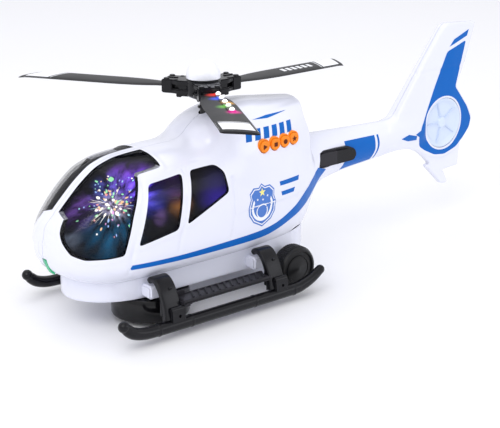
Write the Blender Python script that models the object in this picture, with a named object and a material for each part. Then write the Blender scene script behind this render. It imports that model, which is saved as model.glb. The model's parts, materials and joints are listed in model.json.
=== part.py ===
"""Toy helicopter: hollow two-part shell, smoked windows, driven rotor, skids, rear wheels, drive turret.

Metres, +Z up, nose towards -X. Shapes are written in millimetres from a datum on the floor under the
rotor axis, and mm() turns them into metres. The empty called datum carries every part to its place.
"""

import math

import bmesh
import bpy
from mathutils import Matrix, Vector

# ---------------------------------------------------------------- driving dimensions, millimetres
DATUM = (-62.25, 5.85, 0.0)       # rotor axis foot, seen from the middle of the whole object's box
GAP = 0.3                        # running and seating gap
WALL = 2.0                       # shell wall
SEAM = 0.15                      # half of the gap between the two shell halves
RING_POINTS = 11                 # points on each half section of the shell

# Body sections: x, top, bottom, height of the widest line, half width, upper and lower exponents.
SECTIONS = (
    (-113.0, 50.0, 46.0, 48.0, 2.0, 2.2, 2.2),
    (-111.0, 61.0, 39.5, 49.0, 12.5, 2.3, 2.3),
    (-106.0, 67.0, 34.0, 49.5, 21.5, 2.4, 2.6),
    (-97.0, 76.2, 29.6, 50.0, 28.5, 2.5, 3.2),
    (-87.0, 85.2, 27.7, 50.5, 32.6, 2.6, 3.8),
    (-77.0, 91.6, 27.0, 51.0, 35.0, 2.7, 4.0),
    (-64.0, 95.0, 27.0, 51.5, 36.6, 2.7, 4.0),
    (-45.0, 96.2, 27.0, 52.5, 37.3, 2.7, 4.0),
    (-20.0, 96.8, 27.0, 53.5, 37.3, 2.7, 4.0),
    (-15.0, 103.5, 27.0, 53.8, 37.2, 2.6, 4.0),
    (-8.0, 109.2, 27.0, 54.2, 37.1, 2.6, 4.0),
    (0.0, 112.4, 27.0, 54.5, 36.9, 2.6, 4.0),
    (12.0, 114.8, 27.0, 55.2, 36.2, 2.6, 3.9),
    (25.0, 115.3, 27.0, 56.0, 35.2, 2.6, 3.8),
    (45.0, 113.6, 26.8, 58.0, 31.8, 2.6, 3.4),
    (58.0, 112.3, 26.6, 60.5, 26.8, 2.6, 3.0),
    (69.5, 111.2, 33.0, 63.5, 20.8, 2.6, 2.5),
    (73.0, 84.8, 39.5, 64.4, 19.0, 2.2, 2.4),
    (82.0, 83.8, 49.0, 66.5, 15.6, 2.1, 2.2),
    (98.0, 83.2, 53.4, 68.2, 12.4, 2.1, 2.1),
    (118.0, 82.6, 55.3, 68.9, 10.9, 2.0, 2.0),
    (138.0, 81.9, 57.0, 69.5, 9.6, 2.0, 2.0),
    (160.0, 81.4, 59.0, 70.4, 8.0, 2.0, 2.0),
    (188.0, 81.0, 61.0, 71.0, 5.2, 2.0, 2.0),
)
BOOM_SOLID_X = 140.0             # the boom is solid behind this
BELLY_OPENING = ((-92.0, -25.8, 20.0), (59.0, 25.8, 34.2))

# Outlines seen from the side, as (x, z).
WINDSHIELD = (
    (-104.6, 67.4), (-107.0, 64.0), (-109.2, 60.0), (-109.4, 55.5), (-106.8, 50.2), (-101.5, 47.6),
    (-90.0, 47.2), (-81.4, 47.9), (-74.8, 68.6), (-69.0, 81.2), (-65.2, 88.9), (-48.6, 90.5),
    (-48.2, 100.0), (-85.0, 100.0), (-116.0, 69.5),
)
DOOR_WINDOW = ((-72.9, 51.6), (-46.7, 56.4), (-42.6, 71.5), (-38.6, 86.3), (-61.8, 84.0), (-67.6, 68.5))
REAR_WINDOW = ((-40.6, 58.0), (-9.4, 71.2), (-10.4, 83.0), (-15.2, 87.4), (-32.9, 86.6), (-36.0, 73.0))
FIN = (
    (152.0, 80.5), (158.0, 82.2), (180.0, 111.5), (202.5, 140.0), (206.0, 141.3), (236.4, 139.6),
    (227.2, 113.5), (218.8, 96.1), (231.0, 82.5), (237.5, 72.5), (236.0, 64.5), (229.0, 57.0),
    (219.9, 50.5), (208.0, 47.2), (196.0, 49.0), (186.0, 53.8), (170.0, 60.0), (152.0, 62.0),
)
TAIL_BUMPER = (
    (182.0, 57.0), (196.0, 43.8), (191.5, 43.2), (208.6, 27.2), (215.1, 26.9), (209.3, 37.4),
    (224.7, 38.2), (225.5, 53.5), (208.0, 58.0), (192.0, 60.0),
)
FIN_HALF = 3.4
BUMPER_HALF = 2.2
POST_HALF = 3.2                  # half width of the post between the two windshield panes

FENESTRON_CENTRE = (206.2, 72.0)
FENESTRON_RADIUS = 17.4

CHASSIS_NOSE_X, CHASSIS_NOSE_LENGTH, CHASSIS_REAR_X = -60.0, 39.0, 66.0
CHASSIS_HALF = 29.0
CHASSIS_TOP, CHASSIS_FLOOR, AXLE_BAY_FLOOR = 26.6, 17.0, 8.0
AXLE_BAY_X = 35.4
AXLE_BAY_HALF = 25.0

ROTOR_PLANE = 125.7
ROTOR_PARK_DEG = 2.2             # parked angle of the first blade
BLADE_COUNT = 3
MAST_RADIUS = 2.3
HUB_BOTTOM, HUB_TOP, ARM_REACH, ARM_HALF = 118.6, 130.6, 24.0, 6.6
DOME_RADIUS, DOME_CENTRE = 10.2, 131.6

PIVOT_X, PIVOT_RADIUS, PIVOT_TOP = -44.0, 5.8, 24.0
TURRET_RADIUS, TURRET_WALL, TURRET_BOTTOM, TURRET_TOP = 23.0, 1.4, 2.8, 16.6
TURRET_TRAIL = 16.85             # the turret's middle trails this far from its pivot
TURRET_PARK_DEG = 62.4           # parked turn about the pivot, from trailing straight ahead
DRIVE_WHEEL_RADIUS = 7.0
DRIVE_ANGLE_DEG = 24.0           # how high the drive's pinion sits beside its gear
REAR_AXLE = (39.0, 14.0)         # x, z
REAR_WHEEL_RADIUS = 14.0
REAR_WHEEL_SPAN = (31.6, 43.0)   # inner and outer face, from the centre plane

SKID_Y = 51.7
RUNNER_RADIUS = 3.5
RUNNER_Z = 7.0
LEG_X = (-61.0, 14.4)
LEG_WIDTH = 11.0
LEG_THICK = 3.4

BUTTON_X = (20.5, 29.3, 38.1, 46.9)
BUTTON_Z = 92.0
BUTTON_FACE_Y = (-33.0, -32.2, -30.6, -28.6)
BUTTON_TRAVEL = 1.5
BUTTON_BOARD_Y = -18.5

GEAR_MODULE_ROTOR, ROTOR_TEETH, ROTOR_PINION_TEETH = 0.5, 36, 9
GEAR_MODULE_DRIVE, DRIVE_TEETH, DRIVE_PINION_TEETH = 0.4, 24, 8

WHITE = ((0.86, 0.87, 0.97), 0.22, 0.0)
SMOKE = ((0.035, 0.03, 0.07), 0.05, 0.0)
BLACK = ((0.022, 0.022, 0.026), 0.35, 0.0)
ORANGE = ((0.95, 0.33, 0.02), 0.35, 0.0)
TEAL = ((0.05, 0.55, 0.28), 0.2, 0.0)
CLEAR = ((0.9, 0.93, 0.98), 0.05, 0.0)
STEEL = ((0.6, 0.6, 0.62), 0.3, 1.0)
BRASS = ((0.75, 0.55, 0.25), 0.35, 1.0)
BOARD = ((0.03, 0.25, 0.09), 0.5, 0.0)
CELL = ((0.05, 0.2, 0.45), 0.4, 0.3)
LED = ((0.95, 0.95, 1.0), 0.2, 0.0)

for old in list(bpy.data.objects):
    bpy.data.objects.remove(old, do_unlink=True)

datum = bpy.data.objects.new("datum", None)
bpy.context.scene.collection.objects.link(datum)


# ---------------------------------------------------------------- helpers
def mm(*values):
    """Millimetres to metres, as a Vector."""
    return Vector([value / 1000.0 for value in values])


datum.location = mm(*DATUM)


def material(name, look):
    colour, roughness, metallic = look
    made = bpy.data.materials.new(name)
    made.use_nodes = True
    shader = made.node_tree.nodes["Principled BSDF"]
    shader.inputs["Base Color"].default_value = (*colour, 1.0)
    shader.inputs["Roughness"].default_value = roughness
    shader.inputs["Metallic"].default_value = metallic
    made.diffuse_color = (*colour, 1.0)
    return made


def add(name, bm, look=None, origin=(0.0, 0.0, 0.0), smooth_deg=None):
    """Links a mesh given in millimetres as a part whose own origin is at origin, or as a cutter."""
    bmesh.ops.recalc_face_normals(bm, faces=bm.faces)
    for vertex in bm.verts:
        vertex.co = (vertex.co - Vector(origin)) / 1000.0
    mesh = bpy.data.meshes.new(name)
    bm.to_mesh(mesh)
    bm.free()
    made = bpy.data.objects.new(name, mesh)
    bpy.context.scene.collection.objects.link(made)
    made.parent = datum
    made.location = mm(*origin)
    if look is None:
        made.hide_render = True
        made.display_type = "WIRE"
    else:
        mesh.materials.append(material(name, look))
        if smooth_deg:
            mesh.shade_smooth()
            mesh.set_sharp_from_angle(angle=math.radians(smooth_deg))
    return made


def boolean(target, other, operation="DIFFERENCE"):
    modifier = target.modifiers.new(other.name, "BOOLEAN")
    modifier.operation = operation
    modifier.solver = "EXACT"
    modifier.object = other


def bridge(bm, rings, closed=True):
    """Quads between successive rings of vertices."""
    for first, second in zip(rings, rings[1:]):
        count = len(first)
        for i in range(count if closed else count - 1):
            j = (i + 1) % count
            bm.faces.new((first[i], first[j], second[j], second[i]))


def ring_of(bm, points):
    return [bm.verts.new(point) for point in points]


def lofted(rings_points):
    """A closed solid through rings of points, capped at both ends."""
    bm = bmesh.new()
    rings = [ring_of(bm, points) for points in rings_points]
    bridge(bm, rings)
    bm.faces.new(rings[0])
    bm.faces.new(rings[-1])
    return bm


def box(low, high):
    corners = ((low[0], low[1]), (high[0], low[1]), (high[0], high[1]), (low[0], high[1]))
    return lofted([[(x, y, z) for x, y in corners] for z in (low[2], high[2])])


def along_y(outline, y0, y1):
    """A side-view outline of (x, z), extruded from y0 to y1."""
    return lofted([[(x, y, z) for x, z in outline] for y in (y0, y1)])


def along_z(outline, z0, z1):
    """A plan outline of (x, y), extruded from z0 to z1."""
    return lofted([[(x, y, z) for x, y in outline] for z in (z0, z1)])


def circle(radius, count, centre=(0.0, 0.0), start=0.0):
    step = 2 * math.pi / count
    return [
        (centre[0] + radius * math.cos(start + step * i), centre[1] + radius * math.sin(start + step * i))
        for i in range(count)
    ]


def turned(profile, count, centre=(0.0, 0.0, 0.0), axis="Z"):
    """A solid of revolution about axis: profile is (radius, height) pairs from one end to the other."""
    rings = []
    for radius, height in profile:
        ring = []
        for a, b in circle(max(radius, 0.02), count):
            local = (a, b, height) if axis == "Z" else (a, height, b)
            ring.append(tuple(c + v for c, v in zip(centre, local)))
        rings.append(ring)
    return lofted(rings)


def ringed(profile, count, centre=(0.0, 0.0, 0.0), axis="Z"):
    """A ring turned about axis: profile is a closed loop of (radius, height) pairs."""
    bm = bmesh.new()
    rings = []
    for a, b in circle(1.0, count):
        points = []
        for radius, height in profile:
            local = (a * radius, b * radius, height) if axis == "Z" else (a * radius, height, b * radius)
            points.append(tuple(c + v for c, v in zip(centre, local)))
        rings.append(ring_of(bm, points))
    bridge(bm, rings + [rings[0]])
    return bm


def inset(outline, distance):
    """The outline moved inwards by distance; its points run counter-clockwise or clockwise."""
    area = sum(a[0] * b[1] - b[0] * a[1] for a, b in zip(outline, outline[1:] + outline[:1]))
    turn = 1.0 if area > 0 else -1.0
    moved = []
    for i, point in enumerate(outline):
        normals = []
        for a, b in ((outline[i - 1], point), (point, outline[(i + 1) % len(outline)])):
            edge = (Vector(b) - Vector(a)).normalized()
            normals.append(Vector((-edge.y, edge.x)) * turn)
        total = normals[0] + normals[1]
        shift = total * (distance / max(0.35, 1.0 + normals[0].dot(normals[1])))
        moved.append((point[0] + shift.x, point[1] + shift.y))
    return moved


def section(x):
    """The body section at x, between the two nearest rows of SECTIONS."""
    for left, right in zip(SECTIONS, SECTIONS[1:]):
        if x <= right[0]:
            t = (x - left[0]) / (right[0] - left[0])
            return [a + (b - a) * t for a, b in zip(left[1:], right[1:])]
    return list(SECTIONS[-1][1:])


def half_section(x, side, offset):
    """Half of the body's outline at x, from the top to the bottom, moved inwards by offset."""
    top, bottom, middle, half, upper, lower = section(x)
    points = []
    for i in range(RING_POINTS):
        angle = math.pi * i / (RING_POINTS - 1)
        sine, cosine = math.sin(angle), math.cos(angle)
        power = upper if cosine >= 0 else lower
        reach = (top - offset - middle) if cosine >= 0 else (middle - bottom - offset)
        y = (half - offset) * max(sine, 0.0) ** (2 / power)
        z = middle + math.copysign(reach * abs(cosine) ** (2 / power), cosine)
        points.append((x, side * max(y, SEAM), z))
    return points


def half_shell(side, outer, inner, inner_start, inner_end):
    """One side of the body between two offsets from its surface; the inside runs from inner_start to inner_end."""
    stations = [row[0] for row in SECTIONS]
    bm = bmesh.new()
    outer_rings = [ring_of(bm, half_section(x, side, outer)) for x in stations]
    inner_x = [inner_start] + [x for x in stations if inner_start + 2 < x < inner_end - 2] + [inner_end]
    inner_rings = [ring_of(bm, half_section(x, side, inner)) for x in inner_x]
    bridge(bm, outer_rings, closed=False)
    bridge(bm, inner_rings, closed=False)
    # The flat seam face runs round the outer outline and back along the inner one.
    outer_loop = [ring[0] for ring in outer_rings] + [ring[-1] for ring in reversed(outer_rings)]
    inner_loop = [ring[0] for ring in inner_rings] + [ring[-1] for ring in reversed(inner_rings)]
    bm.faces.new(outer_rings[0])
    bm.faces.new(outer_rings[-1])
    bm.faces.new(inner_rings[0])
    bm.faces.new(inner_rings[-1])
    edges = []
    for loop in (outer_loop, inner_loop):
        for a, b in zip(loop, loop[1:] + loop[:1]):
            edges.append(bm.edges.get((a, b)) or bm.edges.new((a, b)))
    bmesh.ops.triangle_fill(bm, edges=edges, use_beauty=True)
    return bm


def gear_outline(module, teeth, phase=0.0):
    """Straight-sided teeth with running backlash."""
    radius = module * teeth / 2
    tip, root = radius + 0.85 * module, radius - 1.1 * module
    pitch = 2 * math.pi / teeth
    points = []
    for i in range(teeth):
        centre = phase + pitch * i
        for reach, offset in ((root, -0.27), (tip, -0.1), (tip, 0.1), (root, 0.27)):
            angle = centre + offset * pitch
            points.append((reach * math.cos(angle), reach * math.sin(angle)))
    return points


# ---------------------------------------------------------------- shell halves and windows
fin_cutter = add(
    "fenestron_seat",
    turned([(FENESTRON_RADIUS + GAP, -6.0), (FENESTRON_RADIUS + GAP, 6.0)], 32,
           (FENESTRON_CENTRE[0], 0.0, FENESTRON_CENTRE[1]), "Y"),
)
belly_cutter = add("belly_opening", box(*BELLY_OPENING))
mast_cutter = add("mast_opening", turned([(MAST_RADIUS + 0.9, 90.0), (MAST_RADIUS + 0.9, 130.0)], 16))
nose_cutter = add("nose_light_seat", box((-118.0, -2.7, 33.2), (-102.0, 2.7, 43.8)))
NOSE_LENS = ((-112.0, 43.4), (-110.9, 39.6), (-109.6, 36.4), (-107.9, 33.6), (-105.9, 33.6), (-107.6, 36.8),
             (-108.8, 39.9), (-109.8, 43.4))
EXHAUST = ((77.6, 64.6), (80.2, 73.9), (84.0, 75.0), (106.5, 74.2), (112.5, 71.4), (114.2, 67.4),
           (111.8, 64.0),
           (82.0, 63.4))

for name, side in (("left", -1.0), ("right", 1.0)):
    shell = add(f"shell_{name}", half_shell(side, 0.0, WALL, -109.5, BOOM_SOLID_X), WHITE, smooth_deg=40)
    near, far = side * SEAM, side * 60.0
    fin = add(f"fin_{name}", along_y(FIN, near, side * FIN_HALF))
    bumper = add(f"bumper_{name}", along_y(TAIL_BUMPER, near, side * BUMPER_HALF))
    boolean(shell, fin, "UNION")
    boolean(shell, bumper, "UNION")
    boolean(shell, fin_cutter)
    boolean(shell, belly_cutter)
    boolean(shell, mast_cutter)
    boolean(shell, nose_cutter)
    exhaust_seat = add(f"exhaust_seat_{name}", along_y(inset(EXHAUST, -GAP), side * 8.0, far))
    boolean(shell, exhaust_seat)
    panes = (
        ("windshield", WINDSHIELD, POST_HALF),
        ("door_window", DOOR_WINDOW, 15.0),
        ("rear_window", REAR_WINDOW, 15.0),
    )
    for pane_name, outline, start in panes:
        opening = add(f"{pane_name}_opening_{name}", along_y(outline, side * start, far))
        boolean(shell, opening)
        sheet = half_shell(side, 0.3, 1.6, -110.6, BOOM_SOLID_X)
        pane = add(f"{pane_name}_{name}", sheet, SMOKE, smooth_deg=40)
        keep = add(
            f"{pane_name}_edge_{name}", along_y(inset(outline, GAP + 0.1), side * (start + GAP + 0.1), far)
        )
        boolean(pane, keep, "INTERSECT")
    add(f"exhaust_{name}", along_y(EXHAUST, side * 8.4, side * 14.6), BLACK)
    if side < 0:
        for x, face_y in zip(BUTTON_X, BUTTON_FACE_Y):
            hole = add(f"button_hole_{x:.0f}", turned([(3.9, face_y - 4.0), (3.9, face_y + 12.0)], 12,
                                                      (x, 0.0, BUTTON_Z), "Y"))
            boolean(shell, hole)

add("nose_light", along_y(NOSE_LENS, -2.4, 2.4), TEAL)
fenestron_profile = [
    (FENESTRON_RADIUS, -3.0), (FENESTRON_RADIUS - 1.4, -3.0), (FENESTRON_RADIUS - 2.4, -1.2), (4.0, -1.0),
    (3.0, -2.8),
    (0.0, -3.0),
]
profile = fenestron_profile[::-1] + [(radius, -height) for radius, height in fenestron_profile]
fan_middle = (FENESTRON_CENTRE[0], 0.0, FENESTRON_CENTRE[1])
add("fenestron", turned(profile, 32, fan_middle, "Y"), WHITE, smooth_deg=35)


# ---------------------------------------------------------------- chassis
def chassis_plan(shrink):
    """Plan outline: an elliptical front and a square rear, moved inwards by shrink."""
    half = CHASSIS_HALF - shrink
    nose = CHASSIS_NOSE_LENGTH - shrink
    arc = [
        (CHASSIS_NOSE_X - nose * math.cos(math.radians(a)), half * math.sin(math.radians(a)))
        for a in range(-90, 91, 15)
    ]
    rear = [(28.0, half), (48.0, half - 4.0), (61.0, half - 10.0), (CHASSIS_REAR_X - shrink, half - 15.0)]
    return arc + rear + [(x, -y) for x, y in reversed(rear)]


def bay_plan(shrink):
    """Plan outline of the deep bay round the rear axle, moved inwards by shrink."""
    half = AXLE_BAY_HALF - shrink
    side = [(AXLE_BAY_X - 2.0 + shrink, half), (48.0, half - 1.0), (60.0, half - 8.0),
            (65.0 - shrink, half - 12.0)]
    return side + [(x, -y) for x, y in reversed(side)]


pan = add("chassis_pan", along_z(chassis_plan(0.0), CHASSIS_FLOOR, CHASSIS_TOP), WHITE)
boolean(pan, add("axle_bay", along_z(bay_plan(0.0), AXLE_BAY_FLOOR, 20.0)), "UNION")
for side in (-1.0, 1.0):
    for x in LEG_X:
        inner, outer = sorted((side * 27.6, side * 37.4))
        bracket = add(f"leg_bracket_{x:.0f}_{side:.0f}", box((x - 8.2, inner, 19.2), (x + 5.2, outer, 28.2)))
        boolean(pan, bracket, "UNION")
boolean(pan, add("pan_inside", along_z(chassis_plan(WALL), CHASSIS_FLOOR + WALL, 40.0)))
boolean(pan, add("bay_inside", along_z(bay_plan(WALL), AXLE_BAY_FLOOR + WALL, 22.0)))
boolean(pan, add("turret_bearing", turned([(6.2, 10.0), (6.2, 40.0)], 24, (PIVOT_X, 0.0, 0.0))))
bore = turned([(1.9, -50.0), (1.9, 50.0)], 16, (REAR_AXLE[0], 0.0, REAR_AXLE[1]), "Y")
boolean(pan, add("axle_bore", bore))
DOOR_LOW, DOOR_HIGH = (-7.4, -25.0), (32.4, 25.0)
boolean(pan, add("battery_opening", box((*DOOR_LOW, 12.0), (*DOOR_HIGH, 22.0))))
boolean(pan, add("switch_slot", box((60.0, -2.2, 11.9), (70.0, 6.2, 15.1))))

door = add("battery_door", box((DOOR_LOW[0] + GAP, DOOR_LOW[1] + GAP, CHASSIS_FLOOR + 0.2),
                               (DOOR_HIGH[0] - GAP, DOOR_HIGH[1] - GAP, CHASSIS_FLOOR + 1.8)), WHITE)
SCREW_XY = (6.2, 0.0)
boolean(door, add("screw_hole", turned([(1.6, 10.0), (1.6, 22.0)], 12, (*SCREW_XY, 0.0))))
screw = [(0.0, 15.4), (2.3, 15.4), (2.8, 16.2), (2.8, 16.8), (1.2, 16.8), (1.2, 20.2), (0.0, 21.2)]
add("battery_door_screw", turned(screw, 14, (*SCREW_XY, 0.0)), STEEL, smooth_deg=40)
cell = [(0.0, -25.2), (6.8, -25.2), (7.1, -24.6), (7.1, 23.4), (6.6, 24.0), (2.7, 24.1), (2.7, 25.2), (0.0, 25.2)]
for i in range(3):
    battery_x = -1.0 + 14.5 * i
    add(f"battery_{i + 1}", turned(cell, 16, (battery_x, 0.0, 26.8), "Y"), CELL, smooth_deg=40)
add("main_board", box((-28.0, -22.0, 36.0), (48.0, 22.0, 37.6)), BOARD)
add("speaker", turned([(0.0, 10.4), (8.6, 10.4), (8.6, 11.6), (5.5, 15.4), (5.5, 17.0), (0.0, 17.0)], 20,
                      (50.2, 0.0, 0.0)), BLACK, smooth_deg=40)
switch = add("power_switch", box((61.0, -4.4, 11.0), (62.7, 4.4, 16.0)), BLACK, (64.0, 0.0, 13.5))
boolean(switch, add("switch_stem", box((62.0, -1.8, 12.2), (68.0, 1.8, 14.8))), "UNION")

lamp_axis = (-75.0, 0.0, 0.0)
lamp_foot = [(0.0, 19.4), (15.0, 19.4), (15.0, 24.0), (11.5, 26.0), (11.5, 37.8), (0.0, 37.8)]
add("lamp_base", turned(lamp_foot, 24, lamp_axis), BLACK, smooth_deg=40)
lamp_shade = [(0.0, 38.2), (13.0, 38.2), (13.6, 42.0), (12.2, 47.5), (8.8, 52.0), (4.4, 54.6), (0.0, 55.4)]
add("lamp_dome", turned(lamp_shade, 10, lamp_axis), CLEAR)

# ---------------------------------------------------------------- skids
LEG_PATH = (
    (-34.2, 31.0), (-37.4, 32.6), (-41.0, 31.4), (-44.2, 27.6), (-47.0, 21.4), (-49.2, 15.2), (-50.7, 10.9),
)
RUNNER_PATH = (
    (-94.6, 14.6), (-92.4, 12.1), (-88.6, 9.4), (-82.0, 7.5), (-72.0, RUNNER_Z), (-20.0, RUNNER_Z),
    (24.0, RUNNER_Z), (34.0, 8.2), (42.0, 11.0), (48.0, 14.6),
)


def strap(path, thickness, side, x0, x1):
    """A curved flat strap: path is (y, z) along its middle on the -Y side, the width runs from x0 to x1."""
    top, under = [], []
    for i, point in enumerate(path):
        before = Vector(path[max(i - 1, 0)])
        after = Vector(path[min(i + 1, len(path) - 1)])
        along = (after - before).normalized()
        normal = Vector((along.y, -along.x)) * thickness / 2
        top.append(Vector(point) + normal)
        under.append(Vector(point) - normal)
    outline = top + under[::-1]
    return lofted([[(x, -side * p.x, p.y) for p in outline] for x in (x0, x1)])


def runner(side):
    """The runner tube, thinner at its ends, with its front and rear turned up."""
    radii = [2.3, 3.4] + [RUNNER_RADIUS] * 6 + [3.0, 1.8]
    rings = []
    for i, (x, z) in enumerate(RUNNER_PATH):
        before = Vector(RUNNER_PATH[max(i - 1, 0)])
        after = Vector(RUNNER_PATH[min(i + 1, len(RUNNER_PATH) - 1)])
        along = (after - before).normalized()
        ring = []
        for a, b in circle(radii[i], 12):
            ring.append((x - along.y * b, side * SKID_Y + a, z + along.x * b))
        rings.append(ring)
    return lofted(rings)


for name, side in (("left", -1.0), ("right", 1.0)):
    add(f"runner_{name}", runner(side), BLACK, smooth_deg=50)
    for place, x in zip(("front", "rear"), LEG_X):
        band = strap(LEG_PATH, LEG_THICK, side, x - LEG_WIDTH / 2, x + LEG_WIDTH / 2)
        add(f"leg_{place}_{name}", band, BLACK,
            smooth_deg=50)
    y0, y1 = sorted((side * 42.4, side * 53.0))
    x0, x1 = LEG_X[0] + LEG_WIDTH / 2 + GAP, LEG_X[1] - LEG_WIDTH / 2 - GAP
    add(f"step_{name}", box((x0, y0, 17.4), (x1, y1, 20.4)),
        BLACK)

# ---------------------------------------------------------------- rear wheels
axle_centre = (REAR_AXLE[0], 0.0, REAR_AXLE[1])
add("rear_axle", turned([(1.5, -40.0), (1.5, 40.0)], 12, axle_centre, "Y"), STEEL, axle_centre, 40)
for name, side in (("left", -1.0), ("right", 1.0)):
    inner, outer = REAR_WHEEL_SPAN
    r = REAR_WHEEL_RADIUS
    loop = [
        (1.8, inner), (r - 2.4, inner), (r, inner + 1.6), (r, outer - 1.8), (r - 1.6, outer - 0.2),
        (r - 2.6, outer - 0.2), (r - 3.2, outer - 1.0), (8.0, outer - 1.0), (7.4, outer - 0.2),
        (3.0, outer - 0.2), (1.8, outer - 1.4),
    ]
    loop = [(radius, side * y) for radius, y in loop]
    add(f"rear_wheel_{name}", ringed(loop, 32, axle_centre, "Y"), BLACK, axle_centre, 40)

# ---------------------------------------------------------------- gears
def spur_gear(name, module, teeth, phase, span, place, axis, bore, look):
    """A spur gear about its own Y or Z, put in its place, with a round bore, or solid where bore is 0."""
    outline = gear_outline(module, teeth, phase)
    rings = []
    for height in span:
        if axis == "Y":
            rings.append([place @ Vector((a, height, b)) for a, b in outline])
        else:
            rings.append([place @ Vector((a, b, height)) for a, b in outline])
    gear = add(name, lofted(rings), look, place.translation)
    if bore:
        cutter = turned([(bore, span[0] - 2.0), (bore, span[1] + 2.0)], 12, axis=axis)
        cutter.transform(place)
        boolean(gear, add(f"{name}_bore", cutter))
    return gear


# ---------------------------------------------------------------- drive turret
# Its pieces are made round the z axis and then put in place, turned about the pivot.
pivot = Vector((PIVOT_X, 0.0, 0.0))
park = Matrix.Rotation(math.radians(TURRET_PARK_DEG), 4, "Z")
turret_place = Matrix.Translation(pivot) @ park @ Matrix.Translation((-TURRET_TRAIL, 0.0, 0.0))
drive_place = turret_place @ Matrix.Translation((0.0, 0.0, DRIVE_WHEEL_RADIUS))
drive_span = GEAR_MODULE_DRIVE * (DRIVE_TEETH + DRIVE_PINION_TEETH) / 2
drive_angle = math.radians(DRIVE_ANGLE_DEG)
pinion_shift = (drive_span * math.cos(drive_angle), 0.0, drive_span * math.sin(drive_angle))
pinion_place = drive_place @ Matrix.Translation(pinion_shift)


def put(name, bm, place, look=None, smooth_deg=None):
    """Adds a mesh made about its own origin, in its place."""
    bm.transform(place)
    return add(name, bm, look, place.translation, smooth_deg)


inner = TURRET_RADIUS - TURRET_WALL
cup = [
    (0.0, TURRET_TOP), (TURRET_RADIUS - 1.0, TURRET_TOP), (TURRET_RADIUS, TURRET_TOP - 1.0),
    (TURRET_RADIUS, TURRET_BOTTOM + 1.0), (TURRET_RADIUS - 0.6, TURRET_BOTTOM), (inner, TURRET_BOTTOM),
    (inner, TURRET_TOP - 2.0), (0.0, TURRET_TOP - 2.0),
]
housing = put("turret_housing", turned(cup, 48), turret_place, BLACK, 40)
spigot = turned([(PIVOT_RADIUS, TURRET_TOP - 1.0), (PIVOT_RADIUS, PIVOT_TOP)], 24, pivot)
boolean(housing, add("turret_spigot", spigot), "UNION")

base = put("turret_base", turned([(0.0, 4.0), (inner - 0.4, 4.0), (inner - 0.4, 5.6), (0.0, 5.6)], 40),
           turret_place, BLACK)
for i, (y0, y1, reach) in enumerate(((-18.4, -11.0, 7.8), (11.0, 18.4, 7.8), (-1.9, 1.9, 6.2))):
    boolean(base, put(f"base_slot_{i}", box((-reach, y0, 0.0), (reach, y1, 9.0)), turret_place))

put("drive_axle", turned([(1.0, -19.0), (1.0, 19.0)], 10, axis="Y"), drive_place, STEEL, 40)
for name, side in (("left", -1.0), ("right", 1.0)):
    loop = [(1.3, 11.6), (6.2, 11.6), (7.0, 12.4), (7.0, 16.8), (6.2, 17.6), (1.3, 17.6)]
    wheel = ringed([(radius, side * y) for radius, y in loop], 24, axis="Y")
    put(f"drive_wheel_{name}", wheel, drive_place, BLACK, 40)
spur_gear("drive_gear", GEAR_MODULE_DRIVE, DRIVE_TEETH, drive_angle, (-1.2, 1.2), drive_place,
          "Y", 1.3, BRASS)
pinion_phase = drive_angle + math.pi + math.pi / DRIVE_PINION_TEETH
spur_gear("drive_pinion", GEAR_MODULE_DRIVE, DRIVE_PINION_TEETH, pinion_phase, (-1.2, 1.6), pinion_place,
          "Y", 0.0, BRASS)
can = [(0.0, 2.2), (3.8, 2.2), (3.8, 11.0), (0.0, 11.0)]
put("drive_motor", turned(can, 14, axis="Y"), pinion_place, STEEL, 40)

# ---------------------------------------------------------------- rotor
mast = [
    (0.0, 99.2), (MAST_RADIUS, 99.2), (MAST_RADIUS, 113.0), (3.6, 113.0), (3.6, 114.3), (MAST_RADIUS, 114.3),
    (MAST_RADIUS, HUB_BOTTOM - GAP), (0.0, HUB_BOTTOM - GAP),
]
add("rotor_mast", turned(mast, 16), BLACK, smooth_deg=40)
spur_gear("rotor_gear", GEAR_MODULE_ROTOR, ROTOR_TEETH, 0.0, (99.8, 102.8), Matrix.Identity(4), "Z",
          MAST_RADIUS + GAP, BRASS)
rotor_span = GEAR_MODULE_ROTOR * (ROTOR_TEETH + ROTOR_PINION_TEETH) / 2
motor_centre = (rotor_span, 0.0, 0.0)
spur_gear("rotor_pinion", GEAR_MODULE_ROTOR, ROTOR_PINION_TEETH, 0.0, (99.2, 102.8),
          Matrix.Translation(motor_centre), "Z", 0.0, BRASS)
motor = [(0.0, 73.0), (10.0, 73.0), (10.0, 97.4), (3.0, 97.4), (3.0, 98.8), (0.0, 98.8)]
add("rotor_motor", turned(motor, 20, motor_centre), STEEL, smooth_deg=40)

hub_profile = [(0.0, HUB_BOTTOM), (7.0, HUB_BOTTOM), (11.0, 121.0), (11.0, HUB_TOP), (0.0, HUB_TOP)]
hub = add("rotor_hub", turned(hub_profile, 24), BLACK, smooth_deg=30)


def turned_plan(plan, height, spin):
    """A plan outline at one height, turned to its blade."""
    return [spin @ Vector((x, y, height)) for x, y in plan]


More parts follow.
